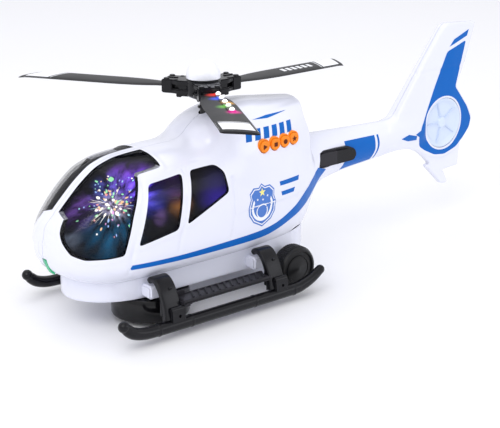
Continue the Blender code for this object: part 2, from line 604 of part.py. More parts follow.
BLADE_PLAN = (
    (ARM_REACH + GAP, 5.6), (34.0, 7.8), (50.0, 10.0), (116.5, 10.0), (107.5, -9.4), (50.0, -9.4),
    (34.0, -7.4), (ARM_REACH + GAP, -5.4),
)
LED_STRIP_PLAN = ((ARM_REACH + 1.4, 1.2), (71.4, 1.8), (71.4, 6.6), (ARM_REACH + 1.4, 5.6))
for i in range(BLADE_COUNT):
    spin = Matrix.Rotation(math.radians(ROTOR_PARK_DEG + 360.0 / BLADE_COUNT * i), 3, "Z")
    arm = []
    for reach, bottom, half in ((4.0, 119.4, 8.0), (13.0, 119.4, 8.0), (ARM_REACH, 121.4, ARM_HALF)):
        corners = [(-half, bottom), (half, bottom), (half, HUB_TOP), (-half, HUB_TOP)]
        arm.append([spin @ Vector((reach, y, z)) for y, z in corners])
    boolean(hub, add(f"hub_arm_{i + 1}", lofted(arm)), "UNION")
    layers = [turned_plan(BLADE_PLAN, ROTOR_PLANE + rise, spin) for rise in (-0.9, 0.9)]
    add(f"rotor_blade_{i + 1}", lofted(layers), BLACK)
    if i == BLADE_COUNT - 1:
        layers = [turned_plan(LED_STRIP_PLAN, ROTOR_PLANE + rise, spin) for rise in (1.2, 2.2)]
        add("blade_led_strip", lofted(layers), LED)
dome = [(DOME_RADIUS * math.cos(math.radians(a)), DOME_CENTRE + DOME_RADIUS * math.sin(math.radians(a)))
        for a in range(0, 91, 15)]
add("hub_dome", turned([(0.0, HUB_TOP + GAP), (DOME_RADIUS, HUB_TOP + GAP)] + dome, 24), CLEAR, smooth_deg=40)

# ---------------------------------------------------------------- push buttons
for i, (x, face_y) in enumerate(zip(BUTTON_X, BUTTON_FACE_Y)):
    flange_y = face_y + 7.2
    stem_y = BUTTON_BOARD_Y - BUTTON_TRAVEL - 0.2
    profile = [
        (0.0, face_y), (3.0, face_y), (3.5, face_y + 0.6), (3.5, flange_y), (4.2, flange_y),
        (4.2, flange_y + 1.0), (1.4, flange_y + 1.0), (1.4, stem_y), (0.0, stem_y),
    ]
    centre = (x, 0.0, BUTTON_Z)
    add(f"button_{i + 1}", turned(profile, 12, centre, "Y"), ORANGE, (x, face_y, BUTTON_Z), 40)
add("button_board", box((16.0, BUTTON_BOARD_Y, 86.5), (51.5, BUTTON_BOARD_Y + 1.5, 97.5)), BOARD)
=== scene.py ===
"""Looks of the toy helicopter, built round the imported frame.

Shapes are written in millimetres from a datum on the floor under the rotor axis: x runs to the tail, y to
starboard and z up. placed() carries them into the frame's metres. The body is an implicit surface (smooth
sections, the engine hump, the fin) that is meshed on a grid, so its windows, paint and mouldings all follow
the same surface.
"""

import json
import math
import random

import bmesh
import bpy
import numpy as np
from mathutils import Matrix, Vector


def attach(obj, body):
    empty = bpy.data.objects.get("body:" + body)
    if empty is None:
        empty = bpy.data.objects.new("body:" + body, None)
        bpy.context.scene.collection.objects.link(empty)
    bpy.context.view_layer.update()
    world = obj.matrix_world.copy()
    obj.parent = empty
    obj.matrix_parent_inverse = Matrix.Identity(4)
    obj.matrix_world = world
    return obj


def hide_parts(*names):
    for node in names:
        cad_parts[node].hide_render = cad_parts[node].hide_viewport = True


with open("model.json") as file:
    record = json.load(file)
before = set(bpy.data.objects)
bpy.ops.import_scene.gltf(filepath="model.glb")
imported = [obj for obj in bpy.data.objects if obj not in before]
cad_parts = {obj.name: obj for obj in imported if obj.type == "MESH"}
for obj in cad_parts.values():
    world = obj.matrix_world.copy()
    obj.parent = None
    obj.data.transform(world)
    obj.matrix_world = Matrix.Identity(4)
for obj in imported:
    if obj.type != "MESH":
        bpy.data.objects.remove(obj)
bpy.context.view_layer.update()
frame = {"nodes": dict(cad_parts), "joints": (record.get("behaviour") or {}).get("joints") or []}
JOINTS = {joint["name"]: joint for joint in frame["joints"]}

# ---------------------------------------------------------------- driving dimensions, millimetres
ROTOR_FOOT = JOINTS["rotor_spin"]["pos_m"]
DATUM = np.array([ROTOR_FOOT[0], ROTOR_FOOT[1], 0.0])
GRID = 1.0  # cell of the grid that the body's surface is meshed on
SEAM = 0.15                      # half of the gap between the two shell halves
WALL = 2.0                       # of the shell and the chassis pan
SIDES = (("left", -1.0), ("right", 1.0))

# Body sections: x, top, bottom, height of the widest line, half width, upper and lower exponents.
SECTIONS = np.array([
    (-113.0, 50.0, 46.0, 48.0, 2.0, 2.2, 2.2),
    (-111.0, 61.0, 39.5, 49.0, 12.5, 2.3, 2.3),
    (-106.0, 67.0, 34.0, 49.5, 21.5, 2.4, 2.6),
    (-97.0, 76.2, 29.6, 50.0, 28.5, 2.5, 3.2),
    (-87.0, 85.2, 27.7, 50.5, 32.6, 2.6, 3.8),
    (-77.0, 91.6, 27.0, 51.0, 35.0, 2.7, 4.0),
    (-64.0, 95.0, 27.0, 51.5, 36.6, 2.7, 4.0),
    (-45.0, 96.2, 27.0, 52.5, 37.3, 2.7, 4.0),
    (-20.0, 96.8, 27.0, 53.5, 37.3, 2.7, 4.0),
    (0.0, 96.0, 27.0, 54.5, 36.9, 2.6, 4.0),
    (25.0, 94.0, 27.0, 56.0, 35.2, 2.5, 3.8),
    (45.0, 91.0, 26.5, 58.0, 31.6, 2.4, 3.4),
    (58.0, 88.0, 26.0, 60.5, 26.5, 2.3, 3.0),
    (66.0, 86.0, 29.0, 62.5, 22.4, 2.2, 2.6),
    (72.0, 84.8, 38.0, 64.0, 19.4, 2.2, 2.4),
    (82.0, 83.8, 49.0, 66.5, 15.6, 2.1, 2.2),
    (98.0, 83.2, 53.4, 68.2, 12.4, 2.1, 2.1),
    (138.0, 81.9, 57.0, 69.5, 9.6, 2.0, 2.0),
    (160.0, 81.4, 59.0, 70.4, 8.0, 2.0, 2.0),
    (186.0, 81.0, 61.0, 71.0, 5.4, 2.0, 2.0),
])
BOOM_END = 187.0
# The engine hump over the cabin: half width and top along x, its rear face, its foot inside the cabin, and
# where its rounded front begins and how far forward that reaches.
HUMP_HALF = ((-25.0, 35.5), (0.0, 35.5), (25.0, 34.2), (45.0, 30.6), (58.0, 25.5), (66.0, 21.4), (70.0, 19.6))
HUMP_TOP = ((-25.0, 115.3), (25.0, 115.3), (45.0, 113.6), (70.0, 111.2))
HUMP_REAR, HUMP_BASE, HUMP_FRONT, HUMP_DEPTH = 69.5, 60.0, 30.0, 57.0

# Outlines seen from the side, as (x, z).
WINDSHIELD = (
    (-116.0, 69.5), (-113.0, 50.0), (-106.8, 48.2), (-101.5, 47.2), (-90.0, 47.0), (-81.4, 47.7),
    (-74.8, 68.6), (-69.0, 81.2), (-65.2, 88.9), (-48.6, 90.5), (-48.2, 101.0), (-85.0, 101.0),
)
# The windshield panes' inner edge seen from the front, as (distance from the centre plane, z).
WINDSHIELD_FRONT = (
    (3.2, 102.0), (3.2, 69.8), (10.4, 67.4), (11.2, 64.6), (12.8, 60.8), (15.4, 56.4), (20.4, 50.0),
    (26.0, 47.2), (32.0, 46.0), (60.0, 46.0), (60.0, 102.0),
)
DOOR_WINDOW = ((-72.9, 51.6), (-46.7, 56.4), (-42.7, 71.5), (-38.6, 86.3), (-61.8, 84.0), (-67.4, 68.0))
REAR_WINDOW = ((-40.6, 58.0), (-9.4, 71.2), (-10.4, 83.0), (-15.2, 87.4), (-32.9, 86.8), (-36.6, 73.0))
DOOR_LINES = (
    ((-79.0, 35.8), (-76.5, 47.5), (-70.9, 63.8), (-67.4, 76.9), (-63.8, 87.6)),
    ((-36.2, 88.0), (-38.8, 72.2), (-42.2, 58.4), (-45.3, 50.0), (-46.4, 43.5)),
    ((-5.1, 78.6), (-5.2, 72.6), (-5.6, 56.6), (-8.3, 43.6)),
)
FIN = (
    (150.0, 79.0), (158.0, 82.2), (180.0, 111.5), (202.5, 140.0), (206.0, 141.3), (236.4, 139.6),
    (227.2, 113.5), (218.8, 96.1), (231.0, 82.5), (237.5, 72.5), (236.0, 64.5), (229.0, 57.0),
    (219.9, 50.5), (208.0, 47.2), (196.0, 49.0), (186.0, 53.8), (170.0, 60.0), (150.0, 63.0),
)
TAIL_BUMPER = (
    (182.0, 57.0), (196.0, 43.8), (191.5, 43.2), (208.6, 27.2), (215.1, 26.9), (209.3, 37.4),
    (224.7, 38.2), (225.5, 53.5), (208.0, 58.0), (192.0, 60.0),
)
FAN_CENTRE = (206.2, 72.0)
FAN_MIDDLE = (FAN_CENTRE[0], 0.0, FAN_CENTRE[1])
FAN_RADIUS = 17.4
EXHAUST = (
    (77.6, 64.6), (80.2, 73.9), (84.0, 75.0), (106.5, 74.2), (112.5, 71.4), (114.2, 67.4), (111.8, 64.0),
    (82.0, 63.4),
)

ROTOR_PLANE = 125.7
BLADE_DEGREES = (2.2, 122.2, 242.2)
BUTTON_X = (20.5, 29.3, 38.1, 46.9)
BUTTON_Z = 92.0
BUTTON_FACE_Y = (-33.0, -32.2, -30.6, -28.6)
TURRET_X = -44.0
SKID_Y = 51.7
LEG_X = (-61.0, 14.4)


# ---------------------------------------------------------------- the body as an implicit surface
def monotone(x, knots, values):
    """A smooth curve through (knots, values) that never overshoots them."""
    steps = np.diff(knots)
    slopes = np.diff(values) / steps
    tangents = np.zeros(len(knots))
    tangents[0], tangents[-1] = slopes[0], slopes[-1]
    for i in range(1, len(knots) - 1):
        if slopes[i - 1] * slopes[i] > 0:
            first, second = 2 * steps[i] + steps[i - 1], steps[i] + 2 * steps[i - 1]
            tangents[i] = (first + second) / (first / slopes[i - 1] + second / slopes[i])
    k = np.clip(np.searchsorted(knots, x) - 1, 0, len(steps) - 1)
    h = steps[k]
    t = np.clip((x - knots[k]) / h, 0, 1)
    rise = h * (tangents[k] * t * (1 - t) ** 2 - tangents[k + 1] * t * t * (1 - t))
    return values[k] * (1 + 2 * t) * (1 - t) ** 2 + values[k + 1] * t * t * (3 - 2 * t) + rise


def smooth_union(a, b, blend):
    h = np.clip(0.5 + 0.5 * (b - a) / blend, 0, 1)
    return b * (1 - h) + a * h - blend * h * (1 - h)


def smooth_cut(a, b, blend):
    """What is in both a and b, with its edge rounded over about blend."""
    return -smooth_union(-a, -b, blend)


def fuselage(x, y, z):
    along_x = [monotone(x, SECTIONS[:, 0], values) for values in SECTIONS.T[1:]]
    top, bottom, middle, half, upper, lower = along_x
    above = z >= middle
    height = np.where(above, top - middle, middle - bottom)
    power = np.where(above, upper, lower)
    ratio = (np.abs(y / half) ** power + np.abs((z - middle) / height) ** power) ** (1 / power) - 1
    return smooth_cut(np.maximum(ratio * np.minimum(half, height), SECTIONS[0, 0] - x), x - BOOM_END, 3.0)


def hump(x, y, z):
    half = monotone(x, *np.array(HUMP_HALF).T)
    top = monotone(x, *np.array(HUMP_TOP).T)
    forward = np.clip((HUMP_FRONT - x) / HUMP_DEPTH, 0, None)
    plan = (forward**3.4 + np.abs(y / half) ** 3.4) ** (1 / 3.4)
    rise = np.maximum(z - HUMP_BASE, 0) / (top - HUMP_BASE)
    shape = ((plan**2.6 + rise**2.6) ** (1 / 2.6) - 1) * 30.0
    hollow = HUMP_REAR - 3.0 * np.exp(-(((z - 101.0) / 7.0) ** 2))
    return smooth_cut(np.maximum(shape, HUMP_BASE - z), x - hollow, 3.0)


def line_distance(x, z, line):
    """Distance to an open line of points in the side view."""
    nearest = np.full(x.shape, 1e9)
    for (ax, az), (bx, bz) in zip(line, line[1:]):
        ex, ez = bx - ax, bz - az
        t = np.clip(((x - ax) * ex + (z - az) * ez) / (ex * ex + ez * ez), 0, 1)
        nearest = np.minimum(nearest, np.hypot(x - ax - t * ex, z - az - t * ez))
    return nearest


def polygon_distance(x, z, outline):
    """Signed distance to a closed outline in the side view, negative inside."""
    inside = np.zeros(x.shape, bool)
    for (ax, az), (bx, bz) in zip(outline, outline[1:] + outline[:1]):
        rise = bz - az if bz != az else 1e-9
        inside ^= ((az > z) != (bz > z)) & (x < (bx - ax) * (z - az) / rise + ax)
    nearest = line_distance(x, z, outline + outline[:1])
    return np.where(inside, -nearest, nearest)


def tail(x, y, z):
    """The fin, thinner towards its rear edge, and the bumper below it."""
    fin_half = np.interp(x, (150.0, 186.0, 214.0, 237.0), (6.0, 3.6, 3.4, 2.0))
    fin = smooth_cut(polygon_distance(x, z, rounded(FIN, 2.5, 3)), np.abs(y) - fin_half, 1.8)
    bumper = smooth_cut(polygon_distance(x, z, rounded(TAIL_BUMPER, 1.2, 2)), np.abs(y) - 2.2, 1.2)
    return smooth_union(fin, bumper, 2.5)


def body_field(x, y, z):
    """Roughly the distance to the body's outer surface, negative inside."""
    value = smooth_union(fuselage(x, y, z), hump(x, y, z), 4.0)
    behind = x > 146.0
    if behind.any():
        value[behind] = smooth_union(value[behind], tail(x[behind], y[behind], z[behind]), 3.0)
    return value


def gradient(points, field=body_field):
    """The field's slope at each point."""
    reach = 0.05
    slope = np.zeros_like(points)
    for axis in range(3):
        shift = np.zeros(3)
        shift[axis] = reach
        slope[:, axis] = field(*(points + shift).T) - field(*(points - shift).T)
    return slope / (2 * reach)


def unit(vectors):
    return vectors / np.linalg.norm(vectors, axis=-1)[..., None]


def furthest_inside(point_at, count, reach, halvings):
    """How far along each of count rays the body lies inside; point_at gives their points at a reach."""
    near, far = np.zeros(count), np.full(count, reach)
    for _ in range(halvings):
        middle = (near + far) / 2
        inside = body_field(*point_at(middle).T) < 0
        near, far = np.where(inside, middle, near), np.where(inside, far, middle)
    return near


def surface_net(field, low, high, step):
    """Points and quads of the closed surface where the field is zero."""
    axes = [np.arange(a, b, step) for a, b in zip(low, high)]
    value = field(*np.meshgrid(*axes, indexing="ij"))
    inside = value < 0
    shape = np.array(value.shape) - 1
    corner_offsets = [(i, j, k) for i in (0, 1) for j in (0, 1) for k in (0, 1)]

    def at_corner(grid, corner):
        return grid[tuple(slice(c, c + n) for c, n in zip(corner, shape))]

    count = sum(at_corner(inside, corner).astype(int) for corner in corner_offsets)
    cells = np.argwhere((count > 0) & (count < 8))
    number = np.full(shape, -1)
    number[tuple(cells.T)] = np.arange(len(cells))
    total, found = np.zeros((len(cells), 3)), np.zeros(len(cells))
    for a in corner_offsets:
        for axis in range(3):
            if a[axis]:
                continue
            b = list(a)
            b[axis] = 1
            va, vb = value[tuple((cells + a).T)], value[tuple((cells + b).T)]
            crossed = (va < 0) != (vb < 0)
            share = np.where(crossed, va / np.where(crossed, va - vb, 1.0), 0.0)
            point = np.array(a, float) + share[:, None] * np.eye(3)[axis]
            total += point * crossed[:, None]
            found += crossed
    points = (cells + total / found[:, None]) * step + np.array([a[0] for a in axes])
    faces = []
    for axis in range(3):
        u, v = np.eye(3, dtype=int)[(axis + 1) % 3], np.eye(3, dtype=int)[(axis + 2) % 3]
        ahead = [slice(None)] * 3
        here = [slice(None)] * 3
        ahead[axis], here[axis] = slice(1, None), slice(None, -1)
        crossing = np.argwhere(inside[tuple(here)] != inside[tuple(ahead)])
        crossing = crossing[(crossing @ u > 0) & (crossing @ v > 0)]
        ring = [number[tuple((crossing - shift).T)] for shift in (u + v, v, 0 * u, u)]
        quads = np.stack(ring, 1)
        outward = inside[tuple(crossing.T)]
        faces.append(np.where(outward[:, None], quads, quads[:, ::-1]))
    for _ in range(3):
        slope = gradient(points, field)
        points -= slope * (field(*points.T) / np.maximum((slope**2).sum(1), 0.05))[:, None]
    return points, np.concatenate(faces)


# ---------------------------------------------------------------- outlines
def rounded(outline, radius, steps=4):
    """The outline with each corner turned into an arc-like curve that starts radius before it."""
    made = []
    count = len(outline)
    for i, corner in enumerate(outline):
        corner = Vector(corner)
        ends = []
        for other in (outline[i - 1], outline[(i + 1) % count]):
            edge = Vector(other) - corner
            ends.append(corner + edge.normalized() * min(radius, edge.length * 0.45))
        for j in range(steps + 1):
            t = j / steps
            point = ends[0] * (1 - t) ** 2 + corner * 2 * t * (1 - t) + ends[1] * t * t
            made.append(tuple(point))
    return tuple(made)


def curve(points, steps):
    """A smooth curve through the points, steps to each stretch (Catmull-Rom)."""
    points = [Vector(p) for p in points]
    padded = [2 * points[0] - points[1]] + points + [2 * points[-1] - points[-2]]
    made = []
    for a, b, c, d in zip(padded, padded[1:], padded[2:], padded[3:]):
        for j in range(steps):
            t = j / steps
            bend = (2 * a - 5 * b + 4 * c - d) * t**2 + (3 * b - a - 3 * c + d) * t**3
            made.append(0.5 * (2 * b + (c - a) * t + bend))
    return [tuple(p) for p in made] + [tuple(points[-1])]


def circle(radius, count, centre=(0.0, 0.0)):
    angles = [2 * math.pi * i / count for i in range(count)]
    return [(centre[0] + radius * math.cos(a), centre[1] + radius * math.sin(a)) for a in angles]


def oblong(centre, size, lean):
    """A parallelogram: its top is shifted by lean against its bottom."""
    (cx, cz), (w, h) = centre, (size[0] / 2, size[1] / 2)
    corners = ((-w - lean / 2, -h), (w - lean / 2, -h), (w + lean / 2, h), (-w + lean / 2, h))
    return [(cx + x, cz + z) for x, z in corners]


# ---------------------------------------------------------------- meshes
def loft(rings, looped=False):
    """A solid through rings of points; looped joins the last ring to the first."""
    bm = bmesh.new()
    made = [[bm.verts.new(point) for point in ring] for ring in rings]
    for first, second in zip(made, made[1:] + (made[:1] if looped else [])):
        for i in range(len(first)):
            j = (i + 1) % len(first)
            bm.faces.new((first[i], first[j], second[j], second[i]))
    if not looped:
        bm.faces.new(made[0])
        bm.faces.new(made[-1])
    bmesh.ops.recalc_face_normals(bm, faces=bm.faces)
    return bm


def slab(outline, low, high, axis="Y", bevel=0.0, segments=2):
    """An outline extruded along Y (its points are x, z), Z (x, y) or X (y, z), with rounded edges."""
    bm = loft([[axial(p, h, (0.0, 0.0, 0.0), axis) for p in outline] for h in (low, high)])
    if bevel:
        rim = [edge for edge in bm.edges if edge.calc_face_angle(0) > math.radians(40)]
        bmesh.ops.bevel(bm, geom=rim, offset=bevel, segments=segments, affect="EDGES", clamp_overlap=True)
    return bm


def block(low, high, bevel=0.0, segments=2):
    outline = [(low[0], low[1]), (high[0], low[1]), (high[0], high[1]), (low[0], high[1])]
    return slab(outline, low[2], high[2], "Z", bevel, segments)


def turned(profile, count, centre=(0.0, 0.0, 0.0), axis="Z", looped=False):
    """A turned solid. Its profile is (radius, height) pairs: end to end, or a closed loop for a ring."""
    rings = []
    if looped:
        for a, b in circle(1.0, count):
            rings.append([axial((a * r, b * r), h, centre, axis) for r, h in profile])
        return loft(rings, looped=True)
    for radius, height in profile:
        rings.append([axial(p, height, centre, axis) for p in circle(max(radius, 0.01), count)])
    return loft(rings)


def axial(point, height, centre, axis):
    """A point of an outline that lies across an axis, at a height along that axis."""
    a, b = point
    local = {"Z": (a, b, height), "Y": (a, height, b), "X": (height, a, b)}[axis]
    return tuple(c + v for c, v in zip(centre, local))


def tube(path, radii, count):
    """A round tube along a path of points, with a radius at each."""
    points = [Vector(p) for p in path]
    side = Vector((0, 1, 0))
    rings = []
    for i, point in enumerate(points):
        along = (points[min(i + 1, len(points) - 1)] - points[max(i - 1, 0)]).normalized()
        across = (side - along * side.dot(along)).normalized()
        up = along.cross(across)
        rings.append([tuple(point + across * a + up * b) for a, b in circle(radii[i], count)])
    return loft(rings)


def arc_profile(centre, radius, first, last, steps):
    """Points (radius, height) on an arc from first to last, in degrees."""
    angles = np.radians(np.linspace(first, last, steps + 1))
    return [(centre[0] + radius * math.cos(a), centre[1] + radius * math.sin(a)) for a in angles]


def moved(bm, matrix):
    bmesh.ops.transform(bm, matrix=matrix, verts=bm.verts)
    return bm


def as_mesh(source):
    """The same solid as a mesh; a bmesh is used up."""
    if isinstance(source, bpy.types.Mesh):
        return source
    mesh = bpy.data.meshes.new("solid")
    source.to_mesh(mesh)
    source.free()
    return mesh


def as_bmesh(mesh):
    """The same solid as a bmesh; the mesh is used up."""
    made = bmesh.new()
    made.from_mesh(mesh)
    bpy.data.meshes.remove(mesh)
    return made


def joined(parts):
    """Several meshes as one."""
    whole = bmesh.new()
    for part in parts:
        scratch = as_mesh(part)
        whole.from_mesh(scratch)
        bpy.data.meshes.remove(scratch)
    return whole


def mirrored(bm):
    """The same mesh on the other side of the centre plane."""
    bmesh.ops.scale(bm, vec=(1, -1, 1), verts=bm.verts)
    bmesh.ops.reverse_faces(bm, faces=bm.faces)
    return bm


def linked(name, mesh):
    made = bpy.data.objects.new(name, mesh)
    bpy.context.scene.collection.objects.link(made)
    return made


def placed(name, source, look, body, replaces=(), sharp=40.0):
    """Links a solid given in millimetres from the datum as a finished piece that rides on a body."""
    mesh = as_mesh(source)
    mesh.name = name
    coords = np.empty(len(mesh.vertices) * 3)
    mesh.vertices.foreach_get("co", coords)
    mesh.vertices.foreach_set("co", (coords.reshape(-1, 3) / 1000.0 + DATUM).ravel())
    mesh.update()
    mesh.materials.append(look)
    mesh.shade_smooth()
    mesh.set_sharp_from_angle(angle=math.radians(sharp))
    made = linked(name, mesh)
    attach(made, body)
    if replaces:
        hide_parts(*replaces)
    return made


def raw_mesh(points, faces):
    mesh = bpy.data.meshes.new("raw")
    mesh.from_pydata(points.tolist(), [], faces.tolist())
    mesh.update()
    return mesh


def combined(target, cutters, operation="DIFFERENCE"):
    """The target cut by, joined with or kept inside each of the cutters, in millimetres."""
    scratch = [linked("scratch", as_mesh(target))]
    for cutter in cutters:
        scratch.append(linked("cutter", as_mesh(cutter)))
        modifier = scratch[0].modifiers.new("cut", "BOOLEAN")
        modifier.operation = operation
        modifier.solver = "MANIFOLD"
        modifier.object = scratch[-1]
    graph = bpy.context.evaluated_depsgraph_get()
    result = bpy.data.meshes.new_from_object(scratch[0].evaluated_get(graph))
    for used in scratch:
        bpy.data.objects.remove(used)
    result.materials.clear()
    return result


# ---------------------------------------------------------------- materials
def wire(material, node, inputs):
    """Sets a node's inputs, each to a number, a colour or another node's output."""
    for name, value in inputs.items():
        if isinstance(value, bpy.types.NodeSocket):
            material.node_tree.links.new(value, node.inputs[name])
        else:
            node.inputs[name].default_value = value


def added(material, kind, inputs, **settings):
    """A new shader node of a material."""
    made = material.node_tree.nodes.new(f"ShaderNode{kind}")
    for name, value in settings.items():
        setattr(made, name, value)
    wire(material, made, inputs)
    return made


def found(material, kind, index=0):
    """A node that plastic() has made, by its type."""
    return [node for node in material.node_tree.nodes if node.type == kind][index]


def in_frame(point):
    """A point in millimetres from the datum, in the frame's metres."""
    return Vector(point) / 1000.0 + Vector(DATUM)


def plastic(name, colour, roughness, grain=0.02, grain_size=900.0, coat=0.0, alpha=1.0, mottle=0.04,
            shine=0.5):
    """Moulded plastic: a slightly mottled colour, uneven gloss and a fine moulded grain."""
    made = bpy.data.materials.new(name)
    made.use_nodes = True
    place = added(made, "TexCoord", {}).outputs["Object"]
    broad = added(made, "TexNoise", {"Vector": place, "Scale": 60.0, "Detail": 4.0}).outputs["Fac"]
    fine = added(made, "TexNoise", {"Vector": place, "Scale": grain_size, "Detail": 2.0}).outputs["Fac"]
    darker = (*[c * (1 - mottle) for c in colour], 1.0)
    lighter = (*[min(1.0, c * (1 + mottle)) for c in colour], 1.0)
    tint = added(made, "Mix", {"Factor": broad, "A": darker, "B": lighter}, data_type="RGBA")
    smoothest, roughest = max(0.02, roughness * 0.82), min(1.0, roughness * 1.18)
    gloss = added(made, "MapRange", {"Value": broad, "To Min": smoothest, "To Max": roughest})
    bump = added(made, "Bump", {"Height": fine, "Strength": grain, "Distance": 0.0005})
    wire(made, found(made, "BSDF_PRINCIPLED"), {
        "Base Color": tint.outputs["Result"], "Roughness": gloss.outputs["Result"],
        "Normal": bump.outputs["Normal"], "Coat Weight": coat, "Coat Roughness": 0.08,
        "Specular IOR Level": shine, "Alpha": alpha,
    })
    return made


def metal(name, colour, roughness):
    """Metal with fine turning marks."""
    made = plastic(name, colour, roughness, grain=0.08, mottle=0.08)
    place = found(made, "TEX_COORD").outputs["Object"]
    stretch = added(made, "Mapping", {"Vector": place, "Scale": (4.0, 4.0, 400.0)})
    wire(made, found(made, "TEX_NOISE", 1), {"Vector": stretch.outputs["Vector"], "Scale": 30.0})
    wire(made, found(made, "BSDF_PRINCIPLED"), {"Metallic": 1.0})
    return made


def glowing(name, colour, strength, base=(0.8, 0.8, 0.8)):
    """A lit lens: its own light over a clear surface, a little brighter in some spots."""
    made = plastic(name, base, 0.2, grain=0.01)
    broad = found(made, "TEX_NOISE").outputs["Fac"]
    level = added(made, "MapRange", {"Value": broad, "To Min": strength * 0.8, "To Max": strength * 1.2})
    wire(made, found(made, "BSDF_PRINCIPLED"),
         {"Emission Color": (*colour, 1.0), "Emission Strength": level.outputs["Result"]})
    return made


def lit_patches(name, base, patches, rays_from=None):
    """A dark surface with light painted on it in soft round patches: each has a centre in mm, a radius, a
    colour and a strength. With rays_from the painted light is streaked in rays spreading from that point."""
    made = plastic(name, base, 0.4, grain=0.02, shine=0.2)
    place = found(made, "TEX_COORD").outputs["Object"]
    total, level = (0.0, 0.0, 0.0, 1.0), 1.0
    for centre, radius, colour, strength in patches:
        distance = added(made, "VectorMath", {0: place, 1: in_frame(centre)}, operation="DISTANCE")
        falloff = added(made, "MapRange", {
            "Value": distance.outputs["Value"], "From Max": radius / 1000.0, "To Min": 1.0, "To Max": 0.0,
        }, interpolation_type="SMOOTHERSTEP")
        light = (*[c * strength for c in colour], 1.0)
        total = added(made, "Mix", {"Factor": falloff.outputs["Result"], "A": total, "B": light},
                      data_type="RGBA", blend_type="ADD").outputs["Result"]
    if rays_from is not None:
        away = added(made, "VectorMath", {0: place, 1: in_frame(rays_from)}, operation="SUBTRACT")
        direction = added(made, "VectorMath", {0: away.outputs["Vector"]}, operation="NORMALIZE")
        rays = added(made, "TexNoise", {"Vector": direction.outputs["Vector"], "Scale": 4.0, "Detail": 3.0})
        level = added(made, "MapRange", {
            "Value": rays.outputs["Fac"], "From Min": 0.38, "From Max": 0.66, "To Min": 0.10, "To Max": 1.9,
        }).outputs["Result"]
    wire(made, found(made, "BSDF_PRINCIPLED"), {"Emission Color": total, "Emission Strength": level})
    return made


WHITE = plastic("white_abs", (0.80, 0.815, 0.93), 0.24, grain=0.012, coat=0.35, mottle=0.012)
FAN_BLUE = plastic("pale_blue_abs", (0.66, 0.75, 0.92), 0.26, grain=0.012, coat=0.3, mottle=0.02)
WHITE_MATTE = plastic("white_abs_satin", (0.80, 0.815, 0.92), 0.38, grain=0.02, mottle=0.012)
BLUE = plastic("blue_print", (0.001, 0.125, 0.500), 0.34, grain=0.02, mottle=0.06, shine=0.15)
SHADE_BLUE = plastic("pale_blue_print", (0.08, 0.20, 0.58), 0.34, grain=0.02, mottle=0.08, shine=0.2)
YELLOW = plastic("yellow_print", (0.90, 0.82, 0.25), 0.3, grain=0.02, mottle=0.04)
PRINT_WHITE = plastic("white_print", (0.90, 0.91, 0.95), 0.3, grain=0.02, mottle=0.02)
SMOKE = plastic("smoked_window", (0.004, 0.004, 0.008), 0.06, grain=0.0, alpha=0.30, mottle=0.1, shine=0.25)
BLACK = plastic("black_satin", (0.006, 0.006, 0.008), 0.24, grain=0.06, mottle=0.15, shine=0.26)
GLOSS_BLACK = plastic("black_gloss", (0.004, 0.004, 0.005), 0.13, grain=0.01, mottle=0.1, shine=0.32)
BLADE_GREY = plastic("blade_charcoal", (0.013, 0.013, 0.015), 0.42, grain=0.08, mottle=0.12, shine=0.22)
SLATE = plastic("slate_plastic", (0.022, 0.021, 0.026), 0.40, grain=0.06, mottle=0.1, shine=0.25)
TYRE = plastic("tyre_black", (0.007, 0.007, 0.008), 0.36, grain=0.10, mottle=0.15, shine=0.28)
ORANGE = plastic("orange_soft_plastic", (0.95, 0.26, 0.010), 0.34, grain=0.02, mottle=0.05, shine=0.3)
BROWN = plastic("brown_print", (0.12, 0.018, 0.004), 0.4, grain=0.02, mottle=0.1, shine=0.2)
TEAL = glowing("teal_lens", (0.02, 0.60, 0.28), 0.12, (0.01, 0.36, 0.16))
FROSTED = plastic("frosted_dome", (0.86, 0.87, 0.94), 0.34, grain=0.03, coat=0.2, mottle=0.02)
LAMP = glowing("lamp_lens", (0.75, 0.8, 1.0), 1.2)
STEEL = metal("plated_steel", (0.56, 0.56, 0.58), 0.28)
BRASS = metal("machined_brass", (0.72, 0.50, 0.20), 0.32)
BOARD = plastic("solder_mask", (0.02, 0.20, 0.07), 0.45, grain=0.15, grain_size=400.0, mottle=0.25)
CELL = plastic("battery_sleeve", (0.04, 0.16, 0.42), 0.3, grain=0.02, coat=0.3, mottle=0.08)
# The lamp's coloured light painted on the near side of the cabin, in patches; the two grey patches, at the
# windshield's lower front and upper rear corners, are painted reflections.
CABIN_LIGHT = (
    ((-68.0, -24.0, 89.0), 24.0, (0.20, 0.05, 0.62), 1.5),
    ((-61.0, -26.0, 79.0), 18.0, (0.08, 0.08, 0.80), 1.4),
    ((-80.0, -22.0, 84.0), 20.0, (0.08, 0.12, 0.50), 1.0),
    ((-100.0, -16.0, 77.0), 19.0, (0.30, 0.12, 0.70), 1.1),
    ((-84.0, -24.0, 60.0), 26.0, (0.01, 0.12, 0.26), 0.9),
    ((-80.0, -24.0, 73.0), 12.0, (0.80, 0.60, 0.70), 0.9),
    ((-103.0, -16.0, 57.0), 10.0, (0.16, 0.19, 0.26), 0.9),
    ((-51.0, -24.0, 91.0), 8.0, (0.36, 0.34, 0.34), 1.0),
    ((-44.0, -28.0, 81.0), 14.0, (0.16, 0.05, 0.42), 1.2),
    ((-42.0, -28.0, 68.0), 13.0, (0.42, 0.17, 0.05), 1.0),
    ((-55.5, -28.0, 64.0), 9.0, (0.40, 0.22, 0.70), 1.5),
    ((-16.0, -30.0, 70.0), 19.0, (0.04, 0.02, 0.36), 0.7),
)
STAR_CENTRE = (-79.4, -24.0, 73.2)
# A near-black sheet inside the cabin is painted shade of the dark cabin, and it carries the painted light and
# reflections above.
PAINTED_CABIN_LIGHT_AND_SHADE = lit_patches("cabin_painted_light_and_shade", (0.001, 0.001, 0.003), CABIN_LIGHT, STAR_CENTRE)
